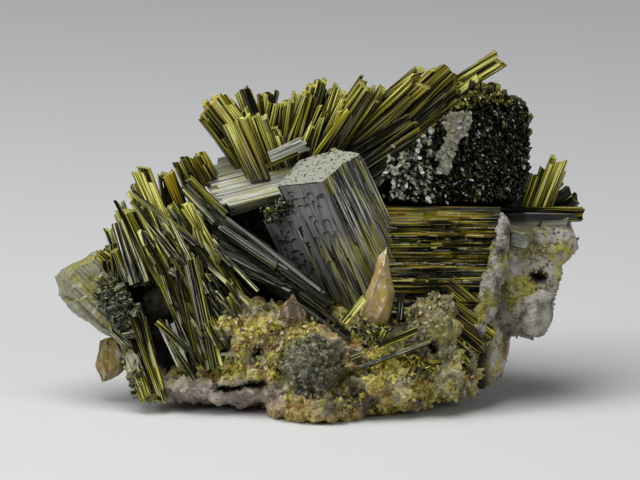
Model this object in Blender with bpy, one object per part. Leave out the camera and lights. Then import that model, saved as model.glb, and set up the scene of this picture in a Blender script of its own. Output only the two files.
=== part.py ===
# Epidote specimen: radiating sprays of prismatic crystals grown together round one
# thick central prism, on a granular crust of matrix with four small accessory crystals.
import math
import random

import bmesh
import bpy
from mathutils import Matrix, Vector, noise

# The drawing grid: x across from the middle, y up, z back from the viewer.
# One step is 0.19 mm, so 100 mm of width is 526 steps.
STEP = 0.00019
GRID_TILT = math.radians(12)
ORIGIN_ACROSS = 0.00036
ORIGIN_BACK = 0.0063
FLOOR_FRONT_DEPTH = -116.0
FLOOR_CUTTER = (0.3, 0.3, 0.05)
GAP = 1.9
SEED = 17

# Every crystal is a little wider than its share of the sheaf, turned and cut at a slant.
# One that points nearly straight back takes its sides from the upward direction.
OVERLAP = 1.17
MOST_ROLL = 0.2
MOST_SLANT = 0.5
LEAST_TURN_FROM_BACK = 0.3

# Central prism: corners of its top face and the way its long axis runs down.
PRISM_TOP = (
    (-42, 238, -58),
    (2, 242, -95),
    (24, 262, -81),
    (41, 269, -70),
    (16, 275, -38),
    (-20, 264, -22),
)
PRISM_AXIS = (0.39, -0.84, 0.22)
PRISM_LENGTH = 165.0
PRISM_LEDGE = (
    (-56, 205, -29),
    (-20, 212, -61),
    (-8, 228, -30),
    (-38, 224, -5),
)
PRISM_LEDGE_LENGTH = 105.0

# Flat slab that lies behind the central prism.
SLAB_END = (
    (-119, 245, -8),
    (-98, 219, -38),
    (-88, 208, -10),
    (-96, 214, 30),
    (-110, 262, 30),
)
SLAB_RUN = (98, 24, 2)

# Block of crystals seen on their ends: its outline, and the grid of ends on it.
BLOCK_OUTLINE = (
    (72, 226),
    (72, 266),
    (112, 296),
    (138, 324),
    (153, 334),
    (180, 331),
    (197, 323),
    (209, 316),
    (209, 266),
    (207, 240),
    (198, 226),
    (120, 222),
)
BLOCK_FRONT = -34.0
BLOCK_BACK = 80.0
BLOCK_START = (68, 232)
BLOCK_ROWS = 7
BLOCK_PITCH = 24.0
BLOCK_ROW_RISE = 19.7
BLOCK_END_LIFT = (5.0, 16.0)
BLOCK_END_ROOT = (-5, -4, 30)
BLOCK_END_WIDTH = (17.0, 31.0)
BLOCK_END_HEIGHT = (14.0, 26.0)
BLOCK_END_ROLL = (0.3, 1.3)
BLOCK_JITTER = 4.0

# Sheaves of crystals. Each has the left and right edge of its root and of its tip,
# the depth of root and tip, the thickness of root and tip, how many crystals
# across and deep, and how far the tips are staggered as a share of the length.
SHEAVES = {
    "fan_left": ((-68, 256), (-46, 262), (-120, 325), (-93, 332), 8, -4, 26, 24, 3, 1, 0.07),
    "fan_low_step": ((-78, 250), (-66, 260), (-122, 308), (-112, 317), 4, -4, 16, 14, 2, 1, 0.04),
    "fan_side_step": ((-80, 250), (-71, 257), (-103, 283), (-96, 289), 2, 2, 14, 12, 1, 1, 0.0),
    "fan_dark": ((-62, 272), (-46, 278), (-87, 333), (-73, 341), 20, 18, 16, 14, 2, 1, 0.05),
    "fan_front": ((-70, 244), (-50, 246), (-95, 299), (-76, 308), -16, -26, 16, 14, 2, 1, 0.03),
    "fan_yellow": ((-54, 252), (-28, 254), (-80, 322), (-43, 303), -4, -10, 20, 18, 3, 1, 0.05),
    "fan_back_a": ((-56, 276), (-46, 276), (-64, 332), (-55, 334), 26, 26, 10, 8, 1, 1, 0.0),
    "fan_back_b": ((-64, 280), (-54, 278), (-50, 335), (-42, 333), 30, 32, 11, 9, 1, 1, 0.0),
    "spray_a": ((-46, 264), (-30, 260), (-38, 326), (-21, 337), 10, 6, 24, 20, 2, 1, 0.06),
    "spray_b": ((-42, 264), (-18, 256), (-16, 339), (8, 351), 10, 0, 34, 28, 3, 1, 0.09),
    "spray_c": ((-30, 264), (-4, 250), (7, 341), (28, 337), 0, -8, 30, 26, 3, 1, 0.12),
    "spray_d": ((-18, 264), (12, 248), (42, 350), (65, 337), 12, 2, 52, 42, 3, 2, 0.1),
    "spray_e": ((-6, 276), (26, 252), (104, 362), (114, 347), 16, 10, 54, 30, 3, 2, 0.22),
    "spray_f": ((28, 284), (48, 258), (130, 369), (141, 353), 20, 14, 50, 30, 3, 2, 0.14),
    "spray_g": ((40, 270), (70, 244), (144, 350), (140, 314), 20, 16, 70, 50, 3, 1, 0.06),
    "spray_low": ((0, 262), (62, 236), (88, 310), (122, 286), 14, 14, 64, 60, 3, 1, 0.05),
    "spray_long": ((90, 320), (97, 307), (177, 372), (184, 360), 16, 16, 13, 12, 1, 1, 0.0),
    "spray_stub": ((112, 318), (116, 310), (156, 350), (160, 342), 10, 10, 10, 8, 1, 1, 0.0),
    "spray_tip_a": ((-26, 268), (-12, 260), (0, 320), (10, 314), -16, -18, 12, 10, 2, 1, 0.05),
    "spray_tip_b": ((-10, 266), (4, 256), (26, 320), (36, 311), -18, -22, 12, 10, 2, 1, 0.08),
    "slab_small": ((-52, 272), (-48, 262), (-16, 288), (-11, 276), -20, -20, 14, 12, 1, 1, 0.0),
    "left_big": ((-156, 206), (-132, 214), (-160, 250), (-149, 253), -24, -20, 30, 18, 1, 1, 0.0),
    "pair_left": ((-130, 222), (-114, 234), (-147, 263), (-135, 270), -12, -8, 18, 16, 2, 1, 0.03),
    "pair_right": ((-120, 234), (-102, 250), (-134, 268), (-116, 272), -8, -6, 20, 18, 2, 1, 0.04),
    "pair_long": ((-106, 200), (-92, 212), (-140, 236), (-130, 248), -44, -28, 14, 12, 1, 1, 0.0),
    "left_a": ((-90, 92), (-58, 112), (-164, 214), (-138, 228), -50, -28, 34, 30, 3, 1, 0.08),
    "left_b": ((-112, 62), (-82, 84), (-186, 230), (-160, 216), -66, -34, 30, 28, 3, 1, 0.1),
    "left_c": ((-150, 160), (-136, 168), (-185, 252), (-174, 258), -52, -38, 14, 12, 1, 1, 0.0),
    "left_d": ((-120, 52), (-102, 60), (-201, 222), (-184, 240), -62, -30, 32, 28, 3, 1, 0.06),
    "left_e": ((-198, 142), (-168, 140), (-213, 194), (-196, 224), -30, -16, 40, 34, 3, 1, 0.06),
    "left_f": ((-212, 112), (-188, 104), (-216, 166), (-204, 188), -22, -12, 34, 30, 2, 1, 0.05),
    "left_g": ((-146, 156), (-120, 166), (-122, 56), (-98, 52), -58, -64, 30, 24, 3, 1, 0.06),
    "left_low": ((-206, 94), (-176, 112), (-180, 27), (-152, 22), -36, -52, 34, 30, 3, 1, 0.05),
    "left_stub_a": ((-160, 100), (-142, 104), (-142, 52), (-128, 50), -40, -60, 22, 16, 2, 1, 0.08),
    "wing_a": ((-206, 80), (-176, 106), (-262, 132), (-240, 164), -12, -8, 40, 26, 3, 1, 0.03),
    "wing_b": ((-206, 146), (-184, 158), (-230, 168), (-209, 181), -10, -6, 30, 24, 2, 1, 0.03),
    "wing_c": ((-206, 76), (-194, 84), (-256, 110), (-262, 128), -14, -12, 30, 22, 2, 1, 0.03),
    "dark_a": ((-112, 222), (-104, 176), (10, 130), (36, 78), -26, -74, 34, 30, 3, 1, 0.08),
    "dark_b": ((-100, 200), (-96, 160), (-30, 158), (-22, 128), -46, -70, 22, 18, 3, 1, 0.12),
    "right_bundle": ((50, 217), (62, 108), (182, 216), (170, 116), 0, -4, 104, 96, 4, 2, 0.05),
    "right_low": ((91, 84), (134, 152), (138, 42), (180, 114), -26, -26, 56, 52, 3, 1, 0.06),
    "right_behind": ((150, 214), (160, 110), (210, 206), (206, 120), 26, 22, 60, 50, 3, 1, 0.06),
    "fan_right_a": ((204, 200), (222, 198), (232, 270), (246, 262), 0, -2, 18, 14, 2, 1, 0.03),
    "fan_right_b": ((194, 200), (208, 202), (212, 248), (227, 260), 2, 2, 16, 14, 2, 1, 0.03),
    "fan_right_c": ((200, 204), (212, 192), (240, 248), (261, 221), 12, 14, 24, 20, 3, 1, 0.03),
    "fan_right_d": ((180, 217), (180, 204), (263, 217), (263, 206), -8, -6, 12, 10, 1, 1, 0.0),
    "fan_right_e": ((180, 206), (176, 180), (256, 207), (232, 184), 0, 0, 26, 20, 3, 1, 0.04),
    "back_a": ((-70, 140), (-20, 160), (-122, 214), (-62, 236), 30, 104, 44, 36, 3, 1, 0.12),
    "back_b": ((60, 150), (110, 160), (118, 92), (166, 124), 40, 108, 44, 36, 3, 1, 0.12),
    "back_c": ((-10, 190), (50, 190), (0, 262), (66, 272), 40, 106, 44, 34, 3, 1, 0.12),
    "back_d": ((-130, 130), (-96, 120), (-182, 112), (-150, 76), 20, 80, 40, 34, 3, 1, 0.1),
    "back_e": ((-20, 120), (40, 120), (-34, 84), (44, 80), 40, 116, 40, 34, 3, 1, 0.1),
    "back_f": ((120, 200), (160, 190), (176, 236), (204, 206), 30, 96, 40, 32, 3, 1, 0.1),
}

# Massive parts: the middle and the radii of each lump.
CORE_LUMPS = (
    ((-130, 122, 10), (78, 74, 56)),
    ((-8, 128, 46), (104, 86, 50)),
    ((112, 160, 14), (76, 78, 62)),
    ((62, 252, 34), (74, 40, 48)),
    ((-58, 214, 16), (52, 46, 36)),
    ((128, 222, 50), (60, 44, 42)),
    ((-208, 122, -6), (30, 28, 26)),
    ((199, 136, 6), (29, 50, 40)),
    ((222, 184, 6), (30, 26, 28)),
    ((163, 78, -10), (24, 40, 40)),
    ((196, 226, 10), (26, 26, 28)),
)
MATRIX_LUMPS = (
    ((-8, 60, -72), (34, 34, 46)),
    ((112, 92, -58), (28, 40, 40)),
    ((-10, 76, -48), (88, 44, 44)),
    ((-72, 84, -50), (40, 44, 38)),
    ((0, 18, -64), (54, 22, 50)),
    ((-92, 38, -36), (72, 16, 46)),
    ((92, 50, -50), (58, 26, 46)),
    ((146, 54, -24), (24, 22, 34)),
    ((56, 66, -54), (56, 38, 42)),
    ((58, 34, -56), (56, 24, 46)),
    ((112, 66, -48), (40, 40, 38)),
    ((-56, 48, -44), (52, 30, 44)),
    ((0, 44, 22), (156, 44, 84)),
)
LUMP_ROUGHNESS = 0.14
LUMP_NOISE_SPREAD = 1.7
LUMP_NOISE_SHIFT = 0.013
LARGE_LUMP = 42

# Accessory crystals of other minerals: outline corners, then the middle and half depth.
# Each has a ridge on both sides, at this share of the way from its middle to its edge.
RIDGE_SHARE = 0.55
ACCESSORIES = (
    (
        "pale_wedge_crystal",
        ((66, 180), (71, 152), (75, 134), (71, 112), (57, 86), (33, 98), (46, 124), (57, 168)),
        (-84, 13),
        (0.45, 0.30, 0.18),
    ),
    (
        "small_wedge_crystal",
        ((-27, 134), (-12, 111), (-19, 99), (-44, 105), (-40, 117)),
        (-87, 9),
        (0.22, 0.16, 0.10),
    ),
    (
        "honey_blade_crystal",
        ((-222, 86), (-225, 61), (-219, 39), (-194, 54), (-190, 78), (-198, 92)),
        (-14, 8),
        (0.40, 0.30, 0.08),
    ),
    (
        "tan_blade_crystal",
        ((175, 90), (194, 93), (189, 71), (179, 58), (171, 64)),
        (-22, 7),
        (0.35, 0.26, 0.12),
    ),
)


EPIDOTE_COLOUR = (0.09, 0.10, 0.02)
EPIDOTE_ROUGHNESS = 0.25
MATRIX_COLOUR = (0.20, 0.20, 0.10)
MATRIX_ROUGHNESS = 0.8
ACCESSORY_ROUGHNESS = 0.3


def placed(x, y, z):
    """World position of a point of the drawing grid."""
    up = y * STEP
    back = z * STEP
    floor = -FLOOR_FRONT_DEPTH * STEP * math.sin(GRID_TILT)
    return Vector(
        (
            x * STEP - ORIGIN_ACROSS,
            up * math.sin(GRID_TILT) + back * math.cos(GRID_TILT) - ORIGIN_BACK,
            up * math.cos(GRID_TILT) - back * math.sin(GRID_TILT) - floor,
        )
    )


def clear_scene():
    for old in list(bpy.data.objects):
        bpy.data.objects.remove(old)
    for old in list(bpy.data.collections):
        bpy.data.collections.remove(old)


def new_object(name, shape, collection):
    mesh = bpy.data.meshes.new(name)
    bmesh.ops.recalc_face_normals(shape, faces=shape.faces)
    if shape.calc_volume(signed=True) < 0:
        bmesh.ops.reverse_faces(shape, faces=shape.faces)
    shape.to_mesh(mesh)
    shape.free()
    made = bpy.data.objects.new(name, mesh)
    collection.objects.link(made)
    return made


def add_crystal(shape, root, tip, width, thickness, roll, slant):
    """A six-sided prism from root to tip, with a slanted end."""
    axis = tip - root
    toward_back = placed(0, 0, 1) - placed(0, 0, 0)
    if axis.normalized().cross(toward_back.normalized()).length < LEAST_TURN_FROM_BACK:
        toward_back = placed(0, 1, 0) - placed(0, 0, 0)
    side = axis.cross(toward_back).normalized()
    other = axis.cross(side).normalized()
    turned = Matrix.Rotation(roll, 3, axis.normalized())
    side = turned @ side
    other = turned @ other
    frame = Matrix((side * width, other * thickness, axis)).transposed().to_4x4()
    frame.translation = (root + tip) / 2
    made = bmesh.ops.create_cone(
        shape, cap_ends=True, segments=6, radius1=0.5, radius2=0.5, depth=1
    )
    for corner in made["verts"]:
        if corner.co.z > 0:
            corner.co.z += slant * corner.co.x * width / axis.length
        corner.co = frame @ corner.co


def sheaf_crystals(sheaf, pick):
    """Root, tip, width, thickness, roll and slant of each crystal of a sheaf."""
    left, right, tip_left, tip_right, back, tip_back, deep, tip_deep, across, layers, stagger = sheaf
    width = (Vector(right) - Vector(left)).length / across
    tip_width = (Vector(tip_right) - Vector(tip_left)).length / across
    crystal_width = (width + tip_width) / 2 * OVERLAP * STEP
    thickness = (deep + tip_deep) / 2 / layers * OVERLAP * STEP
    for i in range(across):
        t = (i + 0.5) / across
        for j in range(layers):
            s = (j + 0.5) / layers - 0.5
            root_xy = Vector(left).lerp(Vector(right), t)
            tip_xy = Vector(tip_left).lerp(Vector(tip_right), t)
            root = Vector((root_xy.x, root_xy.y, back + s * deep))
            tip = Vector((tip_xy.x, tip_xy.y, tip_back + s * tip_deep))
            tip = tip.lerp(root, pick.random() * stagger)
            roll = pick.uniform(-MOST_ROLL, MOST_ROLL)
            slant = pick.uniform(-MOST_SLANT, MOST_SLANT)
            yield placed(*root), placed(*tip), crystal_width, thickness, roll, slant


def add_prism(shape, corners, run):
    """A block with the given end face, drawn along a run."""
    end = shape.faces.new([shape.verts.new(placed(*corner)) for corner in corners])
    drawn = bmesh.ops.extrude_face_region(shape, geom=[end])
    move = placed(*run) - placed(0, 0, 0)
    far = [item for item in drawn["geom"] if isinstance(item, bmesh.types.BMVert)]
    bmesh.ops.translate(shape, verts=far, vec=move)


def add_lump(shape, middle, radii, grow=0.0):
    """A rough rounded mass."""
    detail = 2 if max(radii) > LARGE_LUMP else 1
    made = bmesh.ops.create_icosphere(shape, subdivisions=detail, radius=1)
    for corner in made["verts"]:
        seat = Vector(middle) * LUMP_NOISE_SHIFT + corner.co * LUMP_NOISE_SPREAD
        rough = 1 + LUMP_ROUGHNESS * noise.noise(seat)
        out = corner.co.normalized()
        spread = Vector((out.x * radii[0], out.y * radii[1], out.z * radii[2])) * rough
        corner.co = placed(*(Vector(middle) + spread + out * grow))


def add_piece(collection, name, build, *details):
    """One hidden building piece, as its own object."""
    shape = bmesh.new()
    build(shape, *details)
    return new_object(name, shape, collection)


def joined(first, others):
    """Joins a mass with every piece of a collection into one closed body."""
    join = first.modifiers.new("joined", "BOOLEAN")
    join.operation = "UNION"
    join.solver = "MANIFOLD"
    join.operand_type = "COLLECTION"
    join.collection = others


def applied(made):
    """Gives an object the mesh that its modifiers make, and keeps its one large body."""
    bpy.context.view_layer.update()
    graph = bpy.context.evaluated_depsgraph_get()
    mesh = bpy.data.meshes.new_from_object(made.evaluated_get(graph))
    made.modifiers.clear()
    made.data = mesh
    shape = bmesh.new()
    shape.from_mesh(mesh)
    bodies = []
    left = set(shape.verts)
    while left:
        body = set()
        reached = [left.pop()]
        while reached:
            corner = reached.pop()
            body.add(corner)
            for edge in corner.link_edges:
                next_corner = edge.other_vert(corner)
                if next_corner in left:
                    left.remove(next_corner)
                    reached.append(next_corner)
        bodies.append(body)
    bodies.sort(key=len)
    for body in bodies[:-1]:
        bmesh.ops.delete(shape, geom=list(body), context="VERTS")
    shape.to_mesh(mesh)
    shape.free()


def subtract(made, cutter):
    cut = made.modifiers.new("less_" + cutter.name, "BOOLEAN")
    cut.operation = "DIFFERENCE"
    cut.solver = "MANIFOLD"
    cut.object = cutter


def add_flat_crystal(shape, outline, depth, grow=0.0):
    """A wedge with sharp edges: its outline at the middle depth and a ridge each side."""
    middle_back, half = depth
    centre = sum((Vector(corner) for corner in outline), Vector((0, 0))) / len(outline)
    points = []
    for corner in outline:
        away = Vector(corner) - centre
        edge = centre + away * (1 + grow / away.length)
        points.append(placed(edge.x, edge.y, middle_back))
        for side in (-1, 1):
            ridge = centre + away * RIDGE_SHARE
            points.append(placed(ridge.x, ridge.y, middle_back + side * (half + grow)))
    corners = [shape.verts.new(point) for point in points]
    hull = bmesh.ops.convex_hull(shape, input=corners)
    inside = [item for item in hull["geom_interior"] if isinstance(item, bmesh.types.BMVert)]
    bmesh.ops.delete(shape, geom=inside, context="VERTS")


def material(name, colour, roughness):
    made = bpy.data.materials.new(name)
    made.use_nodes = True
    surface = made.node_tree.nodes["Principled BSDF"]
    surface.inputs["Base Color"].default_value = (*colour, 1)
    surface.inputs["Roughness"].default_value = roughness
    surface.inputs["Metallic"].default_value = 0
    return made


def inside_outline(x, y, outline):
    crossed = False
    for (ax, ay), (bx, by) in zip(outline, outline[1:] + outline[:1]):
        if (ay > y) != (by > y) and x < ax + (y - ay) * (bx - ax) / (by - ay):
            crossed = not crossed
    return crossed


def block_ends():
    """Where the crystals of the end-on block stand, row by row."""
    for row in range(BLOCK_ROWS):
        for column in range(BLOCK_ROWS):
            x = BLOCK_START[0] + (column + 0.5 * (row % 2)) * BLOCK_PITCH
            y = BLOCK_START[1] + row * BLOCK_ROW_RISE
            if inside_outline(x, y, BLOCK_OUTLINE):
                yield x, y


def crystals(collection, pieces):
    """The crystal mass: lumps, prisms, the end-on block and every sheaf, grown together."""
    pick = random.Random(SEED)
    for number, (middle, radii) in enumerate(CORE_LUMPS[1:]):
        add_piece(pieces, f"core_{number}", add_lump, middle, radii)
    run = [PRISM_LENGTH * part for part in PRISM_AXIS]
    add_piece(pieces, "central_prism", add_prism, PRISM_TOP, run)
    run = [PRISM_LEDGE_LENGTH * part for part in PRISM_AXIS]
    add_piece(pieces, "prism_ledge", add_prism, PRISM_LEDGE, run)
    add_piece(pieces, "slab", add_prism, SLAB_END, SLAB_RUN)
    outline = [(x, y, BLOCK_FRONT) for x, y in BLOCK_OUTLINE]
    add_piece(pieces, "end_block", add_prism, outline, (0, 0, BLOCK_BACK - BLOCK_FRONT))
    for number, (x, y) in enumerate(block_ends()):
        tip = Vector((x, y, BLOCK_FRONT - pick.uniform(*BLOCK_END_LIFT)))
        tip.x += pick.uniform(-BLOCK_JITTER, BLOCK_JITTER)
        tip.y += pick.uniform(-BLOCK_JITTER, BLOCK_JITTER)
        root = Vector((tip.x, tip.y, BLOCK_FRONT)) + Vector(BLOCK_END_ROOT)
        wide = pick.uniform(*BLOCK_END_WIDTH) * STEP
        high = pick.uniform(*BLOCK_END_HEIGHT) * STEP
        roll = pick.uniform(*BLOCK_END_ROLL)
        slant = pick.uniform(-MOST_SLANT, MOST_SLANT)
        details = (placed(*root), placed(*tip), wide, high, roll, slant)
        add_piece(pieces, f"end_{number}", add_crystal, *details)
    for seed, (name, sheaf) in enumerate(SHEAVES.items()):
        sheaf_pick = random.Random(SEED + seed)
        for number, details in enumerate(sheaf_crystals(sheaf, sheaf_pick)):
            add_piece(pieces, f"{name}_{number}", add_crystal, *details)
    mass = add_piece(collection, "epidote_crystals", add_lump, *CORE_LUMPS[0])
    joined(mass, pieces)
    applied(mass)
    return mass


def matrix_rock(name, collection, pieces, grow):
    """The granular matrix, made of rough lumps grown together."""
    for number, (middle, radii) in enumerate(MATRIX_LUMPS[1:]):
        add_piece(pieces, f"{name}_{number}", add_lump, middle, radii, grow)
    mass = add_piece(collection, name, add_lump, *MATRIX_LUMPS[0], grow)
    joined(mass, pieces)
    applied(mass)
    return mass


def add_floor(shape):
    bmesh.ops.create_cube(shape, size=1)
    size = Matrix.Diagonal((*FLOOR_CUTTER, 1))
    below = Matrix.Translation((0, 0, -FLOOR_CUTTER[2] / 2)) @ size
    bmesh.ops.transform(shape, matrix=below, verts=shape.verts)


def new_collection(name):
    made = bpy.data.collections.new(name)
    bpy.context.scene.collection.children.link(made)
    return made


def main():
    clear_scene()
    collection = new_collection("epidote_specimen")
    cutters = new_collection("cutters")
    crystal_pieces = new_collection("crystal_pieces")
    rock_pieces = new_collection("rock_pieces")
    room_pieces = new_collection("room_pieces")

    mass = crystals(collection, crystal_pieces)
    rock = matrix_rock("matrix", collection, rock_pieces, 0.0)
    subtract(mass, matrix_rock("matrix_room", cutters, room_pieces, GAP))
    for name, outline, depth, colour in ACCESSORIES:
        crystal = add_piece(collection, name, add_flat_crystal, outline, depth)
        crystal.data.materials.append(material(name, colour, ACCESSORY_ROUGHNESS))
        room = add_piece(cutters, name + "_room", add_flat_crystal, outline, depth, GAP)
        subtract(mass, room)
        subtract(rock, room)
    floor = add_piece(cutters, "floor_cutter", add_floor)
    subtract(mass, floor)
    subtract(rock, floor)
    applied(mass)
    applied(rock)
    for made, colour, roughness in (
        (mass, EPIDOTE_COLOUR, EPIDOTE_ROUGHNESS),
        (rock, MATRIX_COLOUR, MATRIX_ROUGHNESS),
    ):
        made.data.materials.clear()
        made.data.materials.append(material(made.name + "_stone", colour, roughness))
    for helpers in (cutters, crystal_pieces, rock_pieces, room_pieces):
        helpers.hide_render = True
        for helper in helpers.objects:
            helper.hide_render = True
            helper.display_type = "WIRE"


main()
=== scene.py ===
import math
import random

import bmesh
import bpy
import numpy as np
from mathutils import Matrix, Vector, noise


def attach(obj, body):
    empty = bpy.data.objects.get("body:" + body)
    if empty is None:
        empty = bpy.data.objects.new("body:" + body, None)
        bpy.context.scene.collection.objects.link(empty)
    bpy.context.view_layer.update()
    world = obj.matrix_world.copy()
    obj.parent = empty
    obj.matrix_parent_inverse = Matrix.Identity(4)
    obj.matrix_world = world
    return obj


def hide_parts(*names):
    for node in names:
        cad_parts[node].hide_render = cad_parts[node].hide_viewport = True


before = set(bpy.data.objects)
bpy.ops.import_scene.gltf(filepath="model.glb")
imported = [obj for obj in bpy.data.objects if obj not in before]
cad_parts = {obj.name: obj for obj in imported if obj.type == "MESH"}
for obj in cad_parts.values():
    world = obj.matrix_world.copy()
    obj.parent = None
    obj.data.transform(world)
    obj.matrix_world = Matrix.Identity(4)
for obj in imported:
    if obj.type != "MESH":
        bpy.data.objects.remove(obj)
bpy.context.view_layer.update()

# The drawing grid: x across, y up, z back from the viewer. One step is 0.19 mm.
STEP = 0.00019
GRID_TILT = math.radians(12)
TILT_SIN, TILT_COS = math.sin(GRID_TILT), math.cos(GRID_TILT)
ORIGIN_ACROSS = 0.00036
ORIGIN_BACK = 0.0063
FLOOR_FRONT_DEPTH = -116.0
FLOOR_LIFT = -FLOOR_FRONT_DEPTH * STEP * TILT_SIN
SEED = 17
OVERLAP = 1.17
BLADE_ANGLES = (0, 42, 138, 180, 222, 318)
# Shares of the crystals in a sheaf: gaps in its front row for each degree of disorder,
# and broken ones.
FRONT_GAPS = 0.035
BROKEN_SHARE = 0.22
# The tint of painted shade, for the pits in the prism's end and for the inset body that shows
# between the strips.
PAINTED_SHADE_TINT = (0.1, 0.0, 0.2, 1.0)
STRIP_SECTION = ((-0.5, -0.5), (0.5, -0.5), (0.5, 0.3), (0.34, 0.5), (-0.34, 0.5), (-0.5, 0.3))
GRAIN_SECTION = ((-1, -0.6), (0.2, -1), (1, 0.4), (-0.3, 1))
# Grains stay above this height and behind this depth, in metres.
GRAIN_FLOOR = 0.0012
FRONT_LIMIT = -0.0264
# The camera: the point it looks at on the grid, its distance in metres and the width of
# the photograph in grid steps. The lights look at LIT_PLACE.
CAMERA_AIM = (0, 185, 0)
CAMERA_DISTANCE = 3.0
PHOTO_WIDTH = 640
LIT_PLACE = (0, 0, 0.03)

PRISM_TOP = (
    (-42, 238, -58),
    (2, 242, -95),
    (24, 262, -81),
    (41, 269, -70),
    (16, 275, -38),
    (-20, 264, -22),
)
PRISM_AXIS = (0.39, -0.84, 0.22)
PRISM_LENGTH = 165.0
PRISM_LEDGE = (
    (-56, 205, -29),
    (-20, 212, -61),
    (-8, 228, -30),
    (-38, 224, -5),
)
PRISM_LEDGE_LENGTH = 105.0
SLAB_END = (
    (-119, 245, -8),
    (-98, 219, -38),
    (-88, 208, -10),
    (-96, 214, 30),
    (-110, 262, 30),
)
SLAB_RUN = (98, 24, 2)
# The front face of the right bundle: two corners of its end and the way along it.
BUNDLE_FRONT = ((66, 219, -55), (56, 112, -55), (114, -1, -3))
BLOCK_OUTLINE = (
    (72, 226),
    (72, 266),
    (112, 296),
    (138, 324),
    (153, 334),
    (180, 331),
    (197, 323),
    (209, 316),
    (209, 266),
    (207, 240),
    (198, 226),
    (120, 222),
)
BLOCK_TEETH = ((150, 334), (180, 331), (208, 314), (207, 240))
BLOCK_FRONT = -34.0
BLOCK_BACK = 80.0
# The foot of the paler plate on the block.
PLATE_FOOT = (121, 252)

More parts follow.
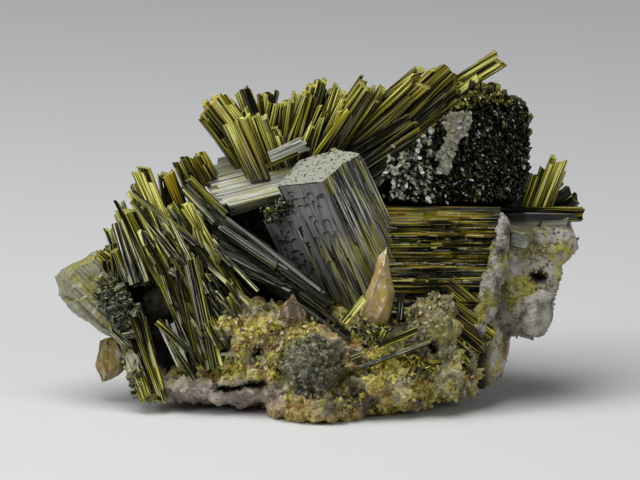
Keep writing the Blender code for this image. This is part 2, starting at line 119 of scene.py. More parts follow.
# Sheaves of crystals, the same as in the solid part: root line and tip line, the depths of
# both, their thicknesses, columns across and layers of the solid, and stagger.
SHEAVES = {
    "fan_left": ((-68, 256), (-46, 262), (-120, 325), (-93, 332), 8, -4, 26, 24, 3, 1, 0.07),
    "fan_low_step": ((-78, 250), (-66, 260), (-122, 308), (-112, 317), 4, -4, 16, 14, 2, 1, 0.04),
    "fan_side_step": ((-80, 250), (-71, 257), (-103, 283), (-96, 289), 2, 2, 14, 12, 1, 1, 0.0),
    "fan_dark": ((-62, 272), (-46, 278), (-87, 333), (-73, 341), 20, 18, 16, 14, 2, 1, 0.05),
    "fan_front": ((-70, 244), (-50, 246), (-95, 299), (-76, 308), -16, -26, 16, 14, 2, 1, 0.03),
    "fan_yellow": ((-54, 252), (-28, 254), (-80, 322), (-43, 303), -4, -10, 20, 18, 3, 1, 0.05),
    "fan_back_a": ((-56, 276), (-46, 276), (-64, 332), (-55, 334), 26, 26, 10, 8, 1, 1, 0.0),
    "fan_back_b": ((-64, 280), (-54, 278), (-50, 335), (-42, 333), 30, 32, 11, 9, 1, 1, 0.0),
    "spray_a": ((-46, 264), (-30, 260), (-38, 326), (-21, 337), 10, 6, 24, 20, 2, 1, 0.06),
    "spray_b": ((-42, 264), (-18, 256), (-16, 339), (8, 351), 10, 0, 34, 28, 3, 1, 0.09),
    "spray_c": ((-30, 264), (-4, 250), (7, 341), (28, 337), 0, -8, 30, 26, 3, 1, 0.12),
    "spray_d": ((-18, 264), (12, 248), (42, 350), (65, 337), 12, 2, 52, 42, 3, 2, 0.1),
    "spray_e": ((-6, 276), (26, 252), (104, 362), (114, 347), 16, 10, 54, 30, 3, 2, 0.22),
    "spray_f": ((28, 284), (48, 258), (130, 369), (141, 353), 20, 14, 50, 30, 3, 2, 0.14),
    "spray_g": ((40, 270), (70, 244), (144, 350), (140, 314), 20, 16, 70, 50, 3, 1, 0.06),
    "spray_low": ((0, 262), (62, 236), (88, 310), (122, 286), 14, 14, 64, 60, 3, 1, 0.05),
    "spray_long": ((90, 320), (97, 307), (177, 372), (184, 360), 16, 16, 13, 12, 1, 1, 0.0),
    "spray_stub": ((112, 318), (116, 310), (156, 350), (160, 342), 10, 10, 10, 8, 1, 1, 0.0),
    "spray_tip_a": ((-26, 268), (-12, 260), (0, 320), (10, 314), -16, -18, 12, 10, 2, 1, 0.05),
    "spray_tip_b": ((-10, 266), (4, 256), (26, 320), (36, 311), -18, -22, 12, 10, 2, 1, 0.08),
    "slab_small": ((-52, 272), (-48, 262), (-16, 288), (-11, 276), -20, -20, 14, 12, 1, 1, 0.0),
    "left_big": ((-156, 206), (-132, 214), (-160, 250), (-149, 253), -24, -20, 30, 18, 1, 1, 0.0),
    "pair_left": ((-130, 222), (-114, 234), (-147, 263), (-135, 270), -12, -8, 18, 16, 2, 1, 0.03),
    "pair_right": ((-120, 234), (-102, 250), (-134, 268), (-116, 272), -8, -6, 20, 18, 2, 1, 0.04),
    "pair_long": ((-106, 200), (-92, 212), (-140, 236), (-130, 248), -44, -28, 14, 12, 1, 1, 0.0),
    "left_a": ((-90, 92), (-58, 112), (-164, 214), (-138, 228), -50, -28, 34, 30, 3, 1, 0.08),
    "left_b": ((-112, 62), (-82, 84), (-186, 230), (-160, 216), -66, -34, 30, 28, 3, 1, 0.1),
    "left_c": ((-150, 160), (-136, 168), (-185, 252), (-174, 258), -52, -38, 14, 12, 1, 1, 0.0),
    "left_d": ((-120, 52), (-102, 60), (-201, 222), (-184, 240), -62, -30, 32, 28, 3, 1, 0.06),
    "left_e": ((-198, 142), (-168, 140), (-213, 194), (-196, 224), -30, -16, 40, 34, 3, 1, 0.06),
    "left_f": ((-212, 112), (-188, 104), (-216, 166), (-204, 188), -22, -12, 34, 30, 2, 1, 0.05),
    "left_g": ((-146, 156), (-120, 166), (-122, 56), (-98, 52), -58, -64, 30, 24, 3, 1, 0.06),
    "left_low": ((-206, 94), (-176, 112), (-180, 27), (-152, 22), -36, -52, 34, 30, 3, 1, 0.05),
    "left_stub_a": (
        (-160, 100), (-142, 104), (-142, 52), (-128, 50), -40, -60, 22, 16, 2, 1, 0.08
    ),
    "wing_a": ((-206, 80), (-176, 106), (-262, 132), (-240, 164), -12, -8, 40, 26, 3, 1, 0.03),
    "wing_b": ((-206, 146), (-184, 158), (-230, 168), (-209, 181), -10, -6, 30, 24, 2, 1, 0.03),
    "wing_c": ((-206, 76), (-194, 84), (-256, 110), (-262, 128), -14, -12, 30, 22, 2, 1, 0.03),
    "dark_a": ((-112, 222), (-104, 176), (10, 130), (36, 78), -26, -74, 34, 30, 3, 1, 0.08),
    "dark_b": ((-100, 200), (-96, 160), (-30, 158), (-22, 128), -46, -70, 22, 18, 3, 1, 0.12),
    "right_bundle": ((50, 217), (62, 108), (182, 216), (170, 116), 0, -4, 104, 96, 4, 2, 0.05),
    "right_low": ((91, 84), (134, 152), (138, 42), (180, 114), -26, -26, 56, 52, 3, 1, 0.06),
    "right_behind": ((150, 214), (160, 110), (210, 206), (206, 120), 26, 22, 60, 50, 3, 1, 0.06),
    "fan_right_a": ((204, 200), (222, 198), (232, 270), (246, 262), 0, -2, 18, 14, 2, 1, 0.03),
    "fan_right_b": ((194, 200), (208, 202), (212, 248), (227, 260), 2, 2, 16, 14, 2, 1, 0.03),
    "fan_right_c": ((200, 204), (212, 192), (240, 248), (261, 221), 12, 14, 24, 20, 3, 1, 0.03),
    "fan_right_d": ((180, 217), (180, 204), (263, 217), (263, 206), -8, -6, 12, 10, 1, 1, 0.0),
    "fan_right_e": ((180, 206), (176, 180), (256, 207), (232, 184), 0, 0, 26, 20, 3, 1, 0.04),
    "back_a": ((-70, 140), (-20, 160), (-122, 214), (-62, 236), 30, 104, 44, 36, 3, 1, 0.12),
    "back_b": ((60, 150), (110, 160), (118, 92), (166, 124), 40, 108, 44, 36, 3, 1, 0.12),
    "back_c": ((-10, 190), (50, 190), (0, 262), (66, 272), 40, 106, 44, 34, 3, 1, 0.12),
    "back_d": ((-130, 130), (-96, 120), (-182, 112), (-150, 76), 20, 80, 40, 34, 3, 1, 0.1),
    "back_e": ((-20, 120), (40, 120), (-34, 84), (44, 80), 40, 116, 40, 34, 3, 1, 0.1),
    "back_f": ((120, 200), (160, 190), (176, 236), (204, 206), 30, 96, 40, 32, 3, 1, 0.1),
}
# How each sheaf looks: its yellow and amber shares, its pale share (pale lines of painted
# highlight along its crystals, or a paler grey for the pale sheaves), how much painted
# shade darkens its roots, the width of its fine crystals, and their disorder in degrees.
PLAIN_LOOK = (0.5, 0.2, 0.1, 0.4, 5.0, 6.0)
LOOKS = {
    "fan_left": (0.8, 0.7, 0.06, 0.4, 8.0, 2.5),
    "fan_low_step": (0.6, 0.25, 0.03, 0.4, 8.0, 2.0),
    "fan_side_step": (0.5, 0.2, 0.03, 0.4, 8.0, 2.0),
    "fan_dark": (0.4, 0.1, 0.05, 0.7, 6.0, 3.0),
    "fan_front": (0.75, 0.5, 0.1, 0.2, 8.0, 1.5),
    "fan_yellow": (0.8, 0.4, 0.2, 0.2, 8.0, 1.5),
    "fan_back_a": (0.6, 0.2, 0.05, 0.4, 5.0, 5.0),
    "fan_back_b": (0.4, 0.1, 0.05, 0.5, 5.0, 5.0),
    "spray_a": (0.75, 0.3, 0.15, 0.4, 7.5, 3.0),
    "spray_b": (0.75, 0.4, 0.25, 0.4, 7.5, 3.5),
    "spray_c": (0.75, 0.6, 0.1, 0.4, 7.0, 3.5),
    "spray_d": (0.6, 0.5, 0.2, 0.5, 7.5, 3.5),
    "spray_e": (0.7, 0.6, 0.2, 0.5, 8.0, 3.0),
    "spray_f": (0.6, 0.7, 0.2, 0.6, 8.0, 2.5),
    "spray_g": (0.35, 0.3, 0.3, 0.8, 7.0, 2.5),
    "spray_low": (0.3, 0.6, 0.2, 0.6, 6.0, 3.0),
    "spray_long": (0.7, 0.3, 0.3, 0.1, 6.0, 2.0),
    "spray_stub": (1.0, 0.5, 0.1, 0.0, 7.0, 2.0),
    "spray_tip_a": (0.7, 0.2, 0.2, 0.4, 5.0, 7.0),
    "spray_tip_b": (0.7, 0.3, 0.1, 0.4, 5.0, 7.0),
    "slab_small": (0.3, 0.1, 0.85, 0.3, 4.0, 2.0),
    "left_big": (0.8, 0.8, 0.0, 0.3, 7.0, 3.0),
    "pair_left": (0.6, 0.3, 0.1, 0.4, 6.0, 4.0),
    "pair_right": (0.8, 0.7, 0.1, 0.2, 6.0, 4.0),
    "pair_long": (0.45, 0.2, 0.25, 0.3, 5.0, 4.0),
    "left_a": (0.8, 0.1, 0.4, 0.6, 7.0, 4.5),
    "left_b": (0.8, 0.1, 0.5, 0.5, 7.5, 5.0),
    "left_c": (0.9, 0.1, 0.35, 0.2, 7.0, 3.0),
    "left_d": (0.7, 0.1, 0.5, 0.6, 7.5, 5.0),
    "left_e": (0.6, 0.2, 0.7, 0.5, 8.0, 5.0),
    "left_f": (0.55, 0.2, 0.4, 0.6, 7.0, 6.0),
    "left_g": (0.9, 0.1, 0.35, 0.3, 7.0, 4.0),
    "left_low": (0.7, 0.3, 0.6, 0.2, 6.0, 5.0),
    "left_stub_a": (0.5, 0.4, 0.45, 0.5, 6.0, 6.0),
    "wing_b": (0.6, 0.5, 0.2, 0.4, 8.0, 2.0),
    "dark_a": (0.12, 0.2, 0.12, 0.8, 5.0, 1.8),
    "dark_b": (0.1, 0.0, 0.15, 0.9, 5.0, 2.5),
    "right_bundle": (0.62, 0.6, 0.14, 0.15, 5.5, 0.4),
    "right_low": (0.6, 1.0, 0.06, 0.1, 6.0, 0.6),
    "fan_right_a": (0.95, 0.25, 0.1, 0.1, 8.0, 1.5),
    "fan_right_b": (0.75, 0.2, 0.1, 0.2, 8.0, 2.0),
    "fan_right_c": (0.4, 0.2, 0.05, 0.6, 8.0, 3.0),
    "fan_right_d": (0.4, 0.2, 0.1, 0.3, 6.0, 1.5),
    "fan_right_e": (0.3, 0.1, 0.72, 0.1, 8.0, 2.0),
    "right_behind": (0.4, 0.5, 0.1, 0.6, 6.0, 2.0),
    "low_brown": (0.62, 1.0, 0.1, 0.0, 5.0, 0.6),
    "fan_fill": (0.6, 0.3, 0.1, 0.4, 7.0, 2.5),
}

# Two thin sheaves that only this script draws.
EXTRA_SHEAVES = {
    "low_brown": ((110, 78), (134, 122), (140, 46), (177, 92), -62, -60, 12, 12, 3, 1, 0.05),
    "fan_fill": ((-62, 274), (-40, 270), (-50, 322), (-32, 328), 22, 20, 12, 10, 2, 1, 0.1),
}

# Sheaves with grey, finely lined faces like the central prism's.
PALE_SHEAVES = ("fan_right_e", "slab_small")

# Sheaves grown together into one smooth lump each, and other smooth lumps: outline, depth
# of its middle, half its thickness, direction of its lines and look.
LUMP_SHEAVES = ("wing_a", "wing_c")
CHUNKS = (
    (
        (
            (-267, 149), (-262, 130), (-250, 116), (-226, 103), (-206, 110), (-202, 152),
            (-222, 176), (-243, 167),
        ),
        -10, 24, (0.72, -0.69), (0.95, 1.0, 0.80, 0.3),
    ),
    (
        (
            (-258, 128), (-250, 113), (-228, 98), (-206, 84), (-190, 84), (-186, 104),
            (-204, 124), (-236, 138),
        ),
        -16, 22, (0.72, -0.69), (0.8, 0.9, 0.72, 0.4),
    ),
    (
        ((184, 205), (212, 201), (218, 186), (206, 172), (186, 176)),
        -18, 24, (1, -0.2), (0.6, 0.4, 0.66, 0.6),
    ),
    (
        ((-214, 132), (-204, 136), (-194, 126), (-196, 112), (-208, 112)),
        -40, 11, (0.7, -0.7), (0.3, 0.2, 0.6, 0.3),
    ),
    (
        ((-204, 112), (-194, 118), (-184, 106), (-188, 94), (-200, 96)),
        -42, 11, (0.5, -0.8), (0.2, 0.2, 0.6, 0.3),
    ),
    (
        ((-196, 88), (-199, 72), (-190, 36), (-172, 22), (-164, 30), (-180, 76)),
        -44, 18, (0.4, -0.9), (0.6, 0.6, 0.95, 0.2),
    ),
)

# The broken end of the right bundle, from its top to its foot.
BAND_PATH = ((185, 208, -34), (180, 176, -46), (172, 130, -54), (158, 82, -54), (140, 44, -48))

# Fields of small broken blocks: a path through them, how far they spread from it, how
# many, their least and largest size, and their look as above.
CHIP_FIELDS = {
    "wing_blocks": (
        ((-210, 136, -36), (-196, 114, -44), (-188, 92, -44)),
        15.0, 330, 4.0, 13.0, (0.25, 0.1, 0.5, 0.5),
    ),
    "wing_sparks": (
        ((-214, 148, -36), (-204, 128, -44)), 9.0, 200, 2.0, 6.0, (0.6, 0.2, 0.7, 0.4)
    ),
    "left_foot": (
        ((-190, 70, -54), (-184, 46, -60), (-174, 30, -62)),
        8.0, 260, 2.0, 6.0, (0.55, 0.1, 0.9, 0.0),
    ),
    "notch": (((-52, 206, -44), (-34, 222, -56)), 8.0, 170, 2.0, 6.0, (0.6, 0.1, 0.2, 0.7)),
    "brown_patch": (
        ((86, 68, -91), (98, 62, -92), (112, 52, -90)), 8.0, 90, 4.0, 11.0, (0.8, 1.0, 0.1, 0.0)
    ),
    "wedge_foot": (
        ((34, 100, -92), (52, 90, -96), (68, 96, -92)), 8.0, 150, 2.0, 6.0, (0.7, 0.3, 0.4, 0.3)
    ),
}

# Short splinters over the front of the left cluster: how many, the line they lie along,
# how they stray from it, how far right they may be, and their looks.
SPLINTERS = 95
SPLINTER_LINE = ((-92, 88, -80), (-160, 214, -50))
SPLINTER_SIDE = (0.87, 0.49, 0)
SPLINTER_LIMIT = -84
SPLINTER_LOOKS = (
    (0.3, 0.0, 1.0, 0.2),
    (0.8, 0.1, 0.4, 0.3),
    (0.6, 0.2, 0.5, 0.4),
    (0.7, 0.0, 0.8, 0.1),
    (0.1, 0.0, 0.1, 0.9),
)

# Single crystals that stand out: root, tip, width, thickness and look.
SINGLE_CRYSTALS = (
    ((-123, 181, -62), (-186, 232, -46), 7, 5, (0.8, 0.1, 0.6, 0.3)),
    ((-134, 158, -66), (-188, 224, -50), 6, 5, (0.4, 0.1, 1.0, 0.2)),
    ((-112, 132, -72), (-150, 206, -56), 6, 5, (0.4, 0.1, 1.0, 0.2)),
    ((-141, 150, -70), (-149, 155, -66), 8, 6, (0.2, 0.0, 1.0, 0.0)),
    ((-131, 76, -84), (-162, 104, -76), 8, 6, (0.7, 0.0, 0.3, 0.4)),
    ((-124, 46, -84), (-150, 84, -76), 6, 5, (0.5, 0.0, 0.4, 0.4)),
    ((-190, 77, -60), (-207, 94, -56), 9, 6, (0.3, 0.0, 1.0, 0.0)),
    ((-114, 162, -58), (-70, 122, -78), 6, 4, (0.8, 0.1, 0.5, 0.2)),
    ((-96, 170, -62), (-62, 134, -78), 4, 3, (0.3, 0.0, 1.0, 0.2)),
    ((-104, 176, -58), (-88, 160, -66), 5, 4, (0.2, 0.0, 1.0, 0.2)),
    ((24, 103, -92), (44, 127, -100), 8, 4, (1.0, 0.0, 0.5, 0.0)),
    ((79, 106, -88), (81, 132, -84), 7, 5, (0.0, 0.6, 0.9, 0.0)),
    ((30, 68, -92), (98, 96, -96), 7, 8, (0.7, 0.3, 0.4, 0.4)),
    ((38, 58, -94), (110, 84, -98), 5, 7, (0.5, 0.3, 0.6, 0.4)),
    ((-54, 258, -40), (-22, 272, -40), 4, 4, (0.9, 0.2, 0.5, 0.1)),
    ((118, 94, -62), (128, 108, -58), 3, 3, (1.0, 0.0, 0.3, 0.0)),
)

# Rough lumps: middle and half sizes. The last five of the first table are the rounded
# crust at the right.
CORE_LUMPS = (
    ((-130, 122, 10), (78, 74, 56)),
    ((-8, 128, 46), (104, 86, 50)),
    ((112, 160, 14), (76, 78, 62)),
    ((62, 252, 34), (74, 40, 48)),
    ((-58, 214, 16), (52, 46, 36)),
    ((128, 222, 50), (60, 44, 42)),
    ((-208, 122, -6), (30, 28, 26)),
    ((199, 136, 6), (29, 50, 40)),
    ((222, 184, 6), (30, 26, 28)),
    ((163, 78, -10), (24, 40, 40)),
    ((190, 220, 14), (20, 20, 26)),
    ((222, 178, -6), (34, 22, 22)),
    ((212, 150, -10), (30, 34, 26)),
    ((204, 118, -14), (26, 30, 26)),
    ((186, 150, -20), (16, 54, 16)),
    ((158, 56, -40), (16, 18, 16)),
)
MATRIX_LUMPS = (
    ((-8, 60, -72), (34, 34, 46)),
    ((112, 92, -58), (28, 40, 40)),
    ((-10, 76, -48), (88, 44, 44)),
    ((-72, 84, -50), (40, 44, 38)),
    ((0, 18, -64), (54, 22, 50)),
    ((-92, 38, -36), (72, 16, 46)),
    ((92, 50, -50), (58, 26, 46)),
    ((146, 54, -24), (24, 22, 34)),
    ((56, 66, -54), (56, 38, 42)),
    ((58, 34, -56), (56, 24, 46)),
    ((112, 66, -48), (40, 40, 38)),
    ((-56, 48, -44), (52, 30, 44)),
    ((0, 44, 22), (156, 44, 84)),
)
# Smoother lumps: the pale broken band at the end of the right bundle, and the rounded
# grey body at the right.
SMOOTH_LUMPS = (
    ((181, 190, -44), (9, 22, 22)),
    ((177, 164, -47), (11, 26, 22)),
    ((169, 132, -49), (12, 28, 23)),
    ((160, 100, -48), (9, 26, 22)),
    ((150, 68, -46), (9, 26, 22)),
    ((140, 42, -44), (9, 16, 18)),
    ((213, 112, -16), (21, 24, 36)),
    ((221, 127, -14), (14, 13, 28)),
)
LUMP_ROUGHNESS = 0.07
LUMP_SHRINK = 0.6

# Hollows in the front, sunk and painted dark as shade: middle and half sizes across and up.
CORE_DENTS = ((218, 148, 10, 7),)
MATRIX_DENTS = (
    (-62, 75, 5.5, 5.5),
    (-92, 37, 15, 4.0),
    (-66, 40, 13, 3.0),
    (46, 79, 3.5, 2.5),
    (112, 78, 4.5, 6),
)
DENT_DEPTH = 13

EPIDOTE_RAMP = (
    (0.0, (0.002, 0.002, 0.001)),
    (0.26, (0.020, 0.020, 0.001)),
    (0.50, (0.105, 0.10, 0.003)),
    (0.76, (0.29, 0.27, 0.010)),
    (1.0, (0.76, 0.74, 0.24)),
)
# The four single crystals: outline, depth of the middle, half the thickness, colours of
# the body, of its cloudy parts and of its lines, how clear and how rough.
GEMS = {
    "pale_wedge": (
        ((66, 180), (71, 152), (75, 134), (71, 112), (57, 86), (33, 98), (46, 124), (57, 168)),
        -84, 13, (0.36, 0.235, 0.075), (0.46, 0.32, 0.17), (0.44, 0.37, 0.03), 0.2, 0.3,
    ),
    "small_wedge": (
        ((-27, 134), (-12, 111), (-19, 99), (-44, 105), (-40, 117)),
        -87, 9, (0.13, 0.10, 0.06), (0.28, 0.14, 0.05), (0.40, 0.32, 0.20), 0.35, 0.2,
    ),
    "honey_blade": (
        ((-222, 86), (-225, 61), (-219, 39), (-194, 54), (-190, 78), (-198, 92)),
        -14, 8, (0.30, 0.24, 0.07), (0.40, 0.26, 0.03), (0.45, 0.42, 0.22), 0.45, 0.25,
    ),
    "tan_blade": (
        ((175, 90), (194, 93), (189, 71), (179, 58), (171, 64)),
        -22, 7, (0.30, 0.21, 0.10), (0.20, 0.13, 0.03), (0.42, 0.36, 0.20), 0.35, 0.3,
    ),
}


def clamp(value):
    return min(1.0, max(0.0, value))


def noise_at(*place):
    return noise.noise(Vector(place))


def grid_noise(grid, scale):
    return noise.noise(Vector(grid) * scale)


def placed(x, y, z):
    """World position of a point of the drawing grid."""
    up, back = y * STEP, z * STEP
    return Vector(
        (
            x * STEP - ORIGIN_ACROSS,
            up * TILT_SIN + back * TILT_COS - ORIGIN_BACK,
            up * TILT_COS - back * TILT_SIN - FLOOR_LIFT,
        )
    )


def direction(step):
    """A step on the drawing grid as a step in the world."""
    return placed(*step) - placed(0, 0, 0)


def to_grid(points):
    """Drawing grid positions of world points, as an array."""
    points = np.asarray(points, dtype=float)
    y = points[:, 1] + ORIGIN_BACK
    z = points[:, 2] + FLOOR_LIFT
    up = y * TILT_SIN + z * TILT_COS
    back = y * TILT_COS - z * TILT_SIN
    return np.stack([(points[:, 0] + ORIGIN_ACROSS) / STEP, up / STEP, back / STEP], axis=1)


def new_object(name, data):
    made = bpy.data.objects.new(name, data)
    bpy.context.scene.collection.objects.link(made)
    return made


def add_layer(mesh, title, values, kind="FLOAT_COLOR"):
    """Stores a colour, or a vector, at each corner of a mesh."""
    layer = mesh.attributes.new(title, kind, "POINT")
    key = "vector" if kind == "FLOAT_VECTOR" else "color"
    layer.data.foreach_set(key, np.array(values, dtype=np.float32).ravel())


def read_array(items, key, width=3):
    """A number or a vector for each corner or face of a mesh, as an array."""
    values = np.empty(len(items) * width, np.float32)
    items.foreach_get(key, values)
    return values.reshape(-1, width) if width > 1 else values


class Gathered:
    """Many small shapes, made into one mesh. Each corner keeps its tone (shade, how far
    along, whether on the end face, and how far from a dark foot), the tint of its shape
    and its grain, which is its place in the lines of the crystal."""

    def __init__(self):
        self.corners, self.faces = [], []
        self.tone, self.tint, self.grain = [], [], []

    def add(self, corners, faces, tone, tint, grain):
        start = len(self.corners)
        self.corners.extend(corners)
        self.faces.extend([tuple(i + start for i in face) for face in faces])
        self.tone.extend(tone)
        self.tint.extend([tint] * len(corners))
        self.grain.extend(grain)

    def to_object(self, name, surface):
        mesh = bpy.data.meshes.new(name)
        mesh.from_pydata(self.corners, [], self.faces)
        add_layer(mesh, "tone", self.tone)
        add_layer(mesh, "tint", self.tint)
        add_layer(mesh, "grain", self.grain, "FLOAT_VECTOR")
        mesh.materials.append(surface)
        mesh.update()
        return new_object(name, mesh)


def side_faces(count):
    """The side faces between two rings of corners."""
    return [(i, (i + 1) % count, count + (i + 1) % count, count + i) for i in range(count)]


def add_bar(store, ring, root, ways, length, lean, seed, tint, shade):
    """A straight crystal with the cross-section of the ring and a slanted end face."""
    side, other, axis = ways
    corners, tone, grain = [], [], []
    for end, on_face in ((0, 0.0), (1, 0.0), (1, 1.0)):
        for x, y in ring:
            along = (length + lean[0] * x + lean[1] * y) * end
            corners.append(root + side * x + other * y + axis * along)
            tone.append((shade, float(end), on_face, 1.0))
            grain.append((x / STEP + seed[0], y / STEP + seed[1], along / STEP))
    count = len(ring)
    faces = side_faces(count)
    faces.append(tuple(range(2 * count, 3 * count)))
    faces.append(tuple(reversed(range(count))))
    store.add(corners, faces, tone, tint, grain)


def crystal_frame(root, tip, roll):
    """Across, through and along directions of a crystal, as unit vectors."""
    axis = (tip - root).normalized()
    toward_back = direction((0, 0, 1)).normalized()
    if axis.cross(toward_back).length < 0.3:
        toward_back = direction((0, 1, 0)).normalized()
    side = axis.cross(toward_back).normalized()
    other = axis.cross(side).normalized()
    turned = Matrix.Rotation(roll, 3, axis)
    return turned @ side, turned @ other, axis


def add_crystal(store, pick, root, tip, size, roll, tint, shade, sides=5, slant=0.9):
    """One fine crystal between two points of the drawing grid. Its size is its width and
    its thickness in grid steps."""
    root, tip = placed(*root), placed(*tip)
    width, thickness = size[0] * STEP, size[1] * STEP
    ring = []
    for i in range(sides):
        turn = BLADE_ANGLES[i] if sides == len(BLADE_ANGLES) else 360 * i / sides
        angle = math.radians(turn + pick.uniform(-9, 9))
        ring.append((0.5 * math.cos(angle) * width, 0.5 * math.sin(angle) * thickness))
    lean = (pick.uniform(-slant, slant), pick.uniform(-slant, slant))
    seed = (pick.uniform(0, 50) * 20, pick.uniform(0, 50) * 20)
    ways = crystal_frame(root, tip, roll)
    add_bar(store, ring, root, ways, (tip - root).length, lean, seed, tint, shade)


def sheaf_stagger(sheaf, number):
    """How much shorter each coarse column of a sheaf is, as in the solid part."""
    pick = random.Random(SEED + number)
    across, layers, stagger = sheaf[8:]
    shorter = {}
    for i in range(across):
        for j in range(layers):
            shorter[i, j] = pick.random() * stagger
            # The solid part draws two more numbers for each column.
            pick.random(), pick.random()
    return shorter


def add_sheaf(store, pick, sheaf, number, look):
    """Fills a sheaf with fine crystals, side by side from its root line to its tip line."""
    left, right, tip_left, tip_right = (Vector(end) for end in sheaf[:4])
    back, tip_back, deep, tip_deep, across, layers, _ = sheaf[4:]
    tint, fine, looseness = look[:4], look[4], look[5]
    disorder = math.radians(looseness)
    packing = 1.22 - 0.06 * looseness
    shorter = sheaf_stagger(sheaf, number)
    width = ((right - left).length + (tip_right - tip_left).length) / 2
    thickness = (deep + tip_deep) / 2
    spread = 0.5 + (OVERLAP - 1) * 0.5 / across
    deeper = 0.5 + (OVERLAP - 1) * 0.5 / layers
    rows = max(3, round(thickness / (fine * 1.2)))
    for row in range(rows):
        s = ((row + 0.5) / rows - 0.5) * 2 * deeper * 0.94
        half = spread * (1 - 0.22 * (abs(s) / deeper) ** 3)
        at = -half
        while at < half:
            wide = fine * pick.choice((0.55, 0.8, 1.0, 1.3, 1.8)) / width
            wide = min(wide, 1.5 * half)
            t = min(half - wide * 0.4, at + wide / 2)
            at += wide * 0.96
            if row == 0 and pick.random() < FRONT_GAPS * looseness:
                continue
            # Crystals inside the sheaf, away from its faces, get painted shade: their tone is cut
            # to 0.35 of its value.
            inner = 0 < row < rows - 1 and abs(t) < half - 1.2 * wide
            share = s + pick.uniform(-0.22, 0.22) / rows
            root = left.lerp(right, t + 0.5).to_3d()
            root.z = back + share * deep
            tip = tip_left.lerp(tip_right, t + 0.5).to_3d()
            tip.z = tip_back + share * tip_deep
            column = max(0, min(across - 1, int((t + 0.5) * across)))
            layer = max(0, min(layers - 1, int((s + 0.5) * layers)))
            cut_back = shorter[column, layer] + pick.random() ** 2 * 0.12
            if pick.random() < BROKEN_SHARE:
                cut_back += pick.uniform(0.05, 0.45)
            length = (tip - root).length
            sway = Vector([pick.gauss(0, 0.5) * disorder * length for _ in range(3)])
            tip = tip.lerp(root, cut_back) + sway * 0.5
            root = root - sway * 0.5
            size = (
                wide * width * pick.uniform(0.9, 1.1) * packing,
                thickness / rows * pick.uniform(1.15, 1.5),
            )
            # Painted shade on the crystals inside the sheaf.
            shade = pick.random() * (0.35 if inner else 1.0)
            roll = pick.uniform(-0.25, 0.25) * min(1.0, 0.3 + looseness * 0.35)
            add_crystal(store, pick, root, tip, size, roll, tint, shade, 6, 0.7)


def build_sheaves(store, pale_store):
    pick = random.Random(SEED + 100)
    for number, (name, sheaf) in enumerate({**SHEAVES, **EXTRA_SHEAVES}.items()):
        if name not in LUMP_SHEAVES:
            target = pale_store if name in PALE_SHEAVES else store
            add_sheaf(target, pick, sheaf, number, LOOKS.get(name, PLAIN_LOOK))


def build_chips(store):
    """Small broken blocks strewn along paths, splinters, and the single crystals."""
    pick = random.Random(SEED + 300)
    for path, spread, count, least, largest, tint in CHIP_FIELDS.values():
        path = [Vector(point) for point in path]
        for _ in range(count):
            leg = pick.randrange(len(path) - 1)
            seat = path[leg].lerp(path[leg + 1], pick.random())
            away = Vector([pick.gauss(0, 0.45) for _ in range(3)]) * spread
            away.z *= 0.6
            size = least + (largest - least) * pick.random() ** 2
            turn = Vector([pick.uniform(-1, 1) for _ in range(3)]).normalized() * size * 0.9
            root = seat + away - turn
            tip = seat + away + turn * pick.uniform(-0.2, 0.6)
            sizes = (size * pick.uniform(0.5, 1.0), size * pick.uniform(0.4, 0.8))
            add_crystal(store, pick, root, tip, sizes, 0.0, tint, pick.random())
    low, high = (Vector(end) for end in SPLINTER_LINE)
    run = (high - low).normalized()
    for _ in range(SPLINTERS):
        aside = Vector(SPLINTER_SIDE) * pick.gauss(0, 17)
        seat = low.lerp(high, pick.uniform(0, 0.95)) + aside
        seat.x = min(seat.x, SPLINTER_LIMIT)
        lean = Vector((pick.gauss(0, 0.16), pick.gauss(0, 0.08), 0))
        half = (run + lean) * pick.uniform(4, 15)
        size = (pick.uniform(2, 5), pick.uniform(3, 5))
        tint = pick.choice(SPLINTER_LOOKS)
        roll = pick.uniform(-0.5, 0.5)
        add_crystal(store, pick, seat - half, seat + half, size, roll, tint, pick.random())
    for root, tip, width, thickness, tint in SINGLE_CRYSTALS:
        roll = pick.uniform(-0.3, 0.3)
        add_crystal(store, pick, root, tip, (width, thickness), roll, tint, 0.5, 6, 0.3)


def outward(start, stop, run, middle):
    """Direction of a side face of a prism, away from the middle of its end."""
    out = Vector(run).cross(stop - start).normalized()
    return out if out.dot((start + stop) / 2 - middle) > 0 else -out


def add_strips(
    store, pick, start, stop, run, middle, count, lift, tint, uneven, ends, thick=5.0
):
    """Narrow flat crystals side by side along one face of a prism or slab."""
    across = stop - start
    out = outward(start, stop, run, middle)
    flat_side, flat_out = direction(across).normalized(), direction(out).normalized()
    at = 0.0
    while at < 1:
        wide = pick.uniform(0.5, 1.8) / count
        seat = start + across * min(1.0, at + wide / 2)
        raised = out * (lift * pick.uniform(-0.6, 1.0)) - out * (thick * 0.5)
        head = placed(*(seat + raised + run.normalized() * (pick.random() ** 3 * uneven)))
        tail = placed(*(seat + raised + run * (1 - pick.uniform(0, ends))))
        shade = pick.random()
        axis = (head - tail).normalized()
        turned = Matrix.Rotation(pick.uniform(-0.08, 0.08), 3, axis)
        width, thickness = across.length * wide * 1.2 * STEP, thick * STEP
        ring = [(x * width, y * thickness) for x, y in STRIP_SECTION]
        seed = (pick.uniform(0, 1000), pick.uniform(0, 1000))
        lean = (pick.uniform(-0.8, 0.8), 0.0)
        ways = (turned @ flat_side, turned @ flat_out, axis)
        add_bar(store, ring, tail, ways, (head - tail).length, lean, seed, tint, shade)
        at += wide


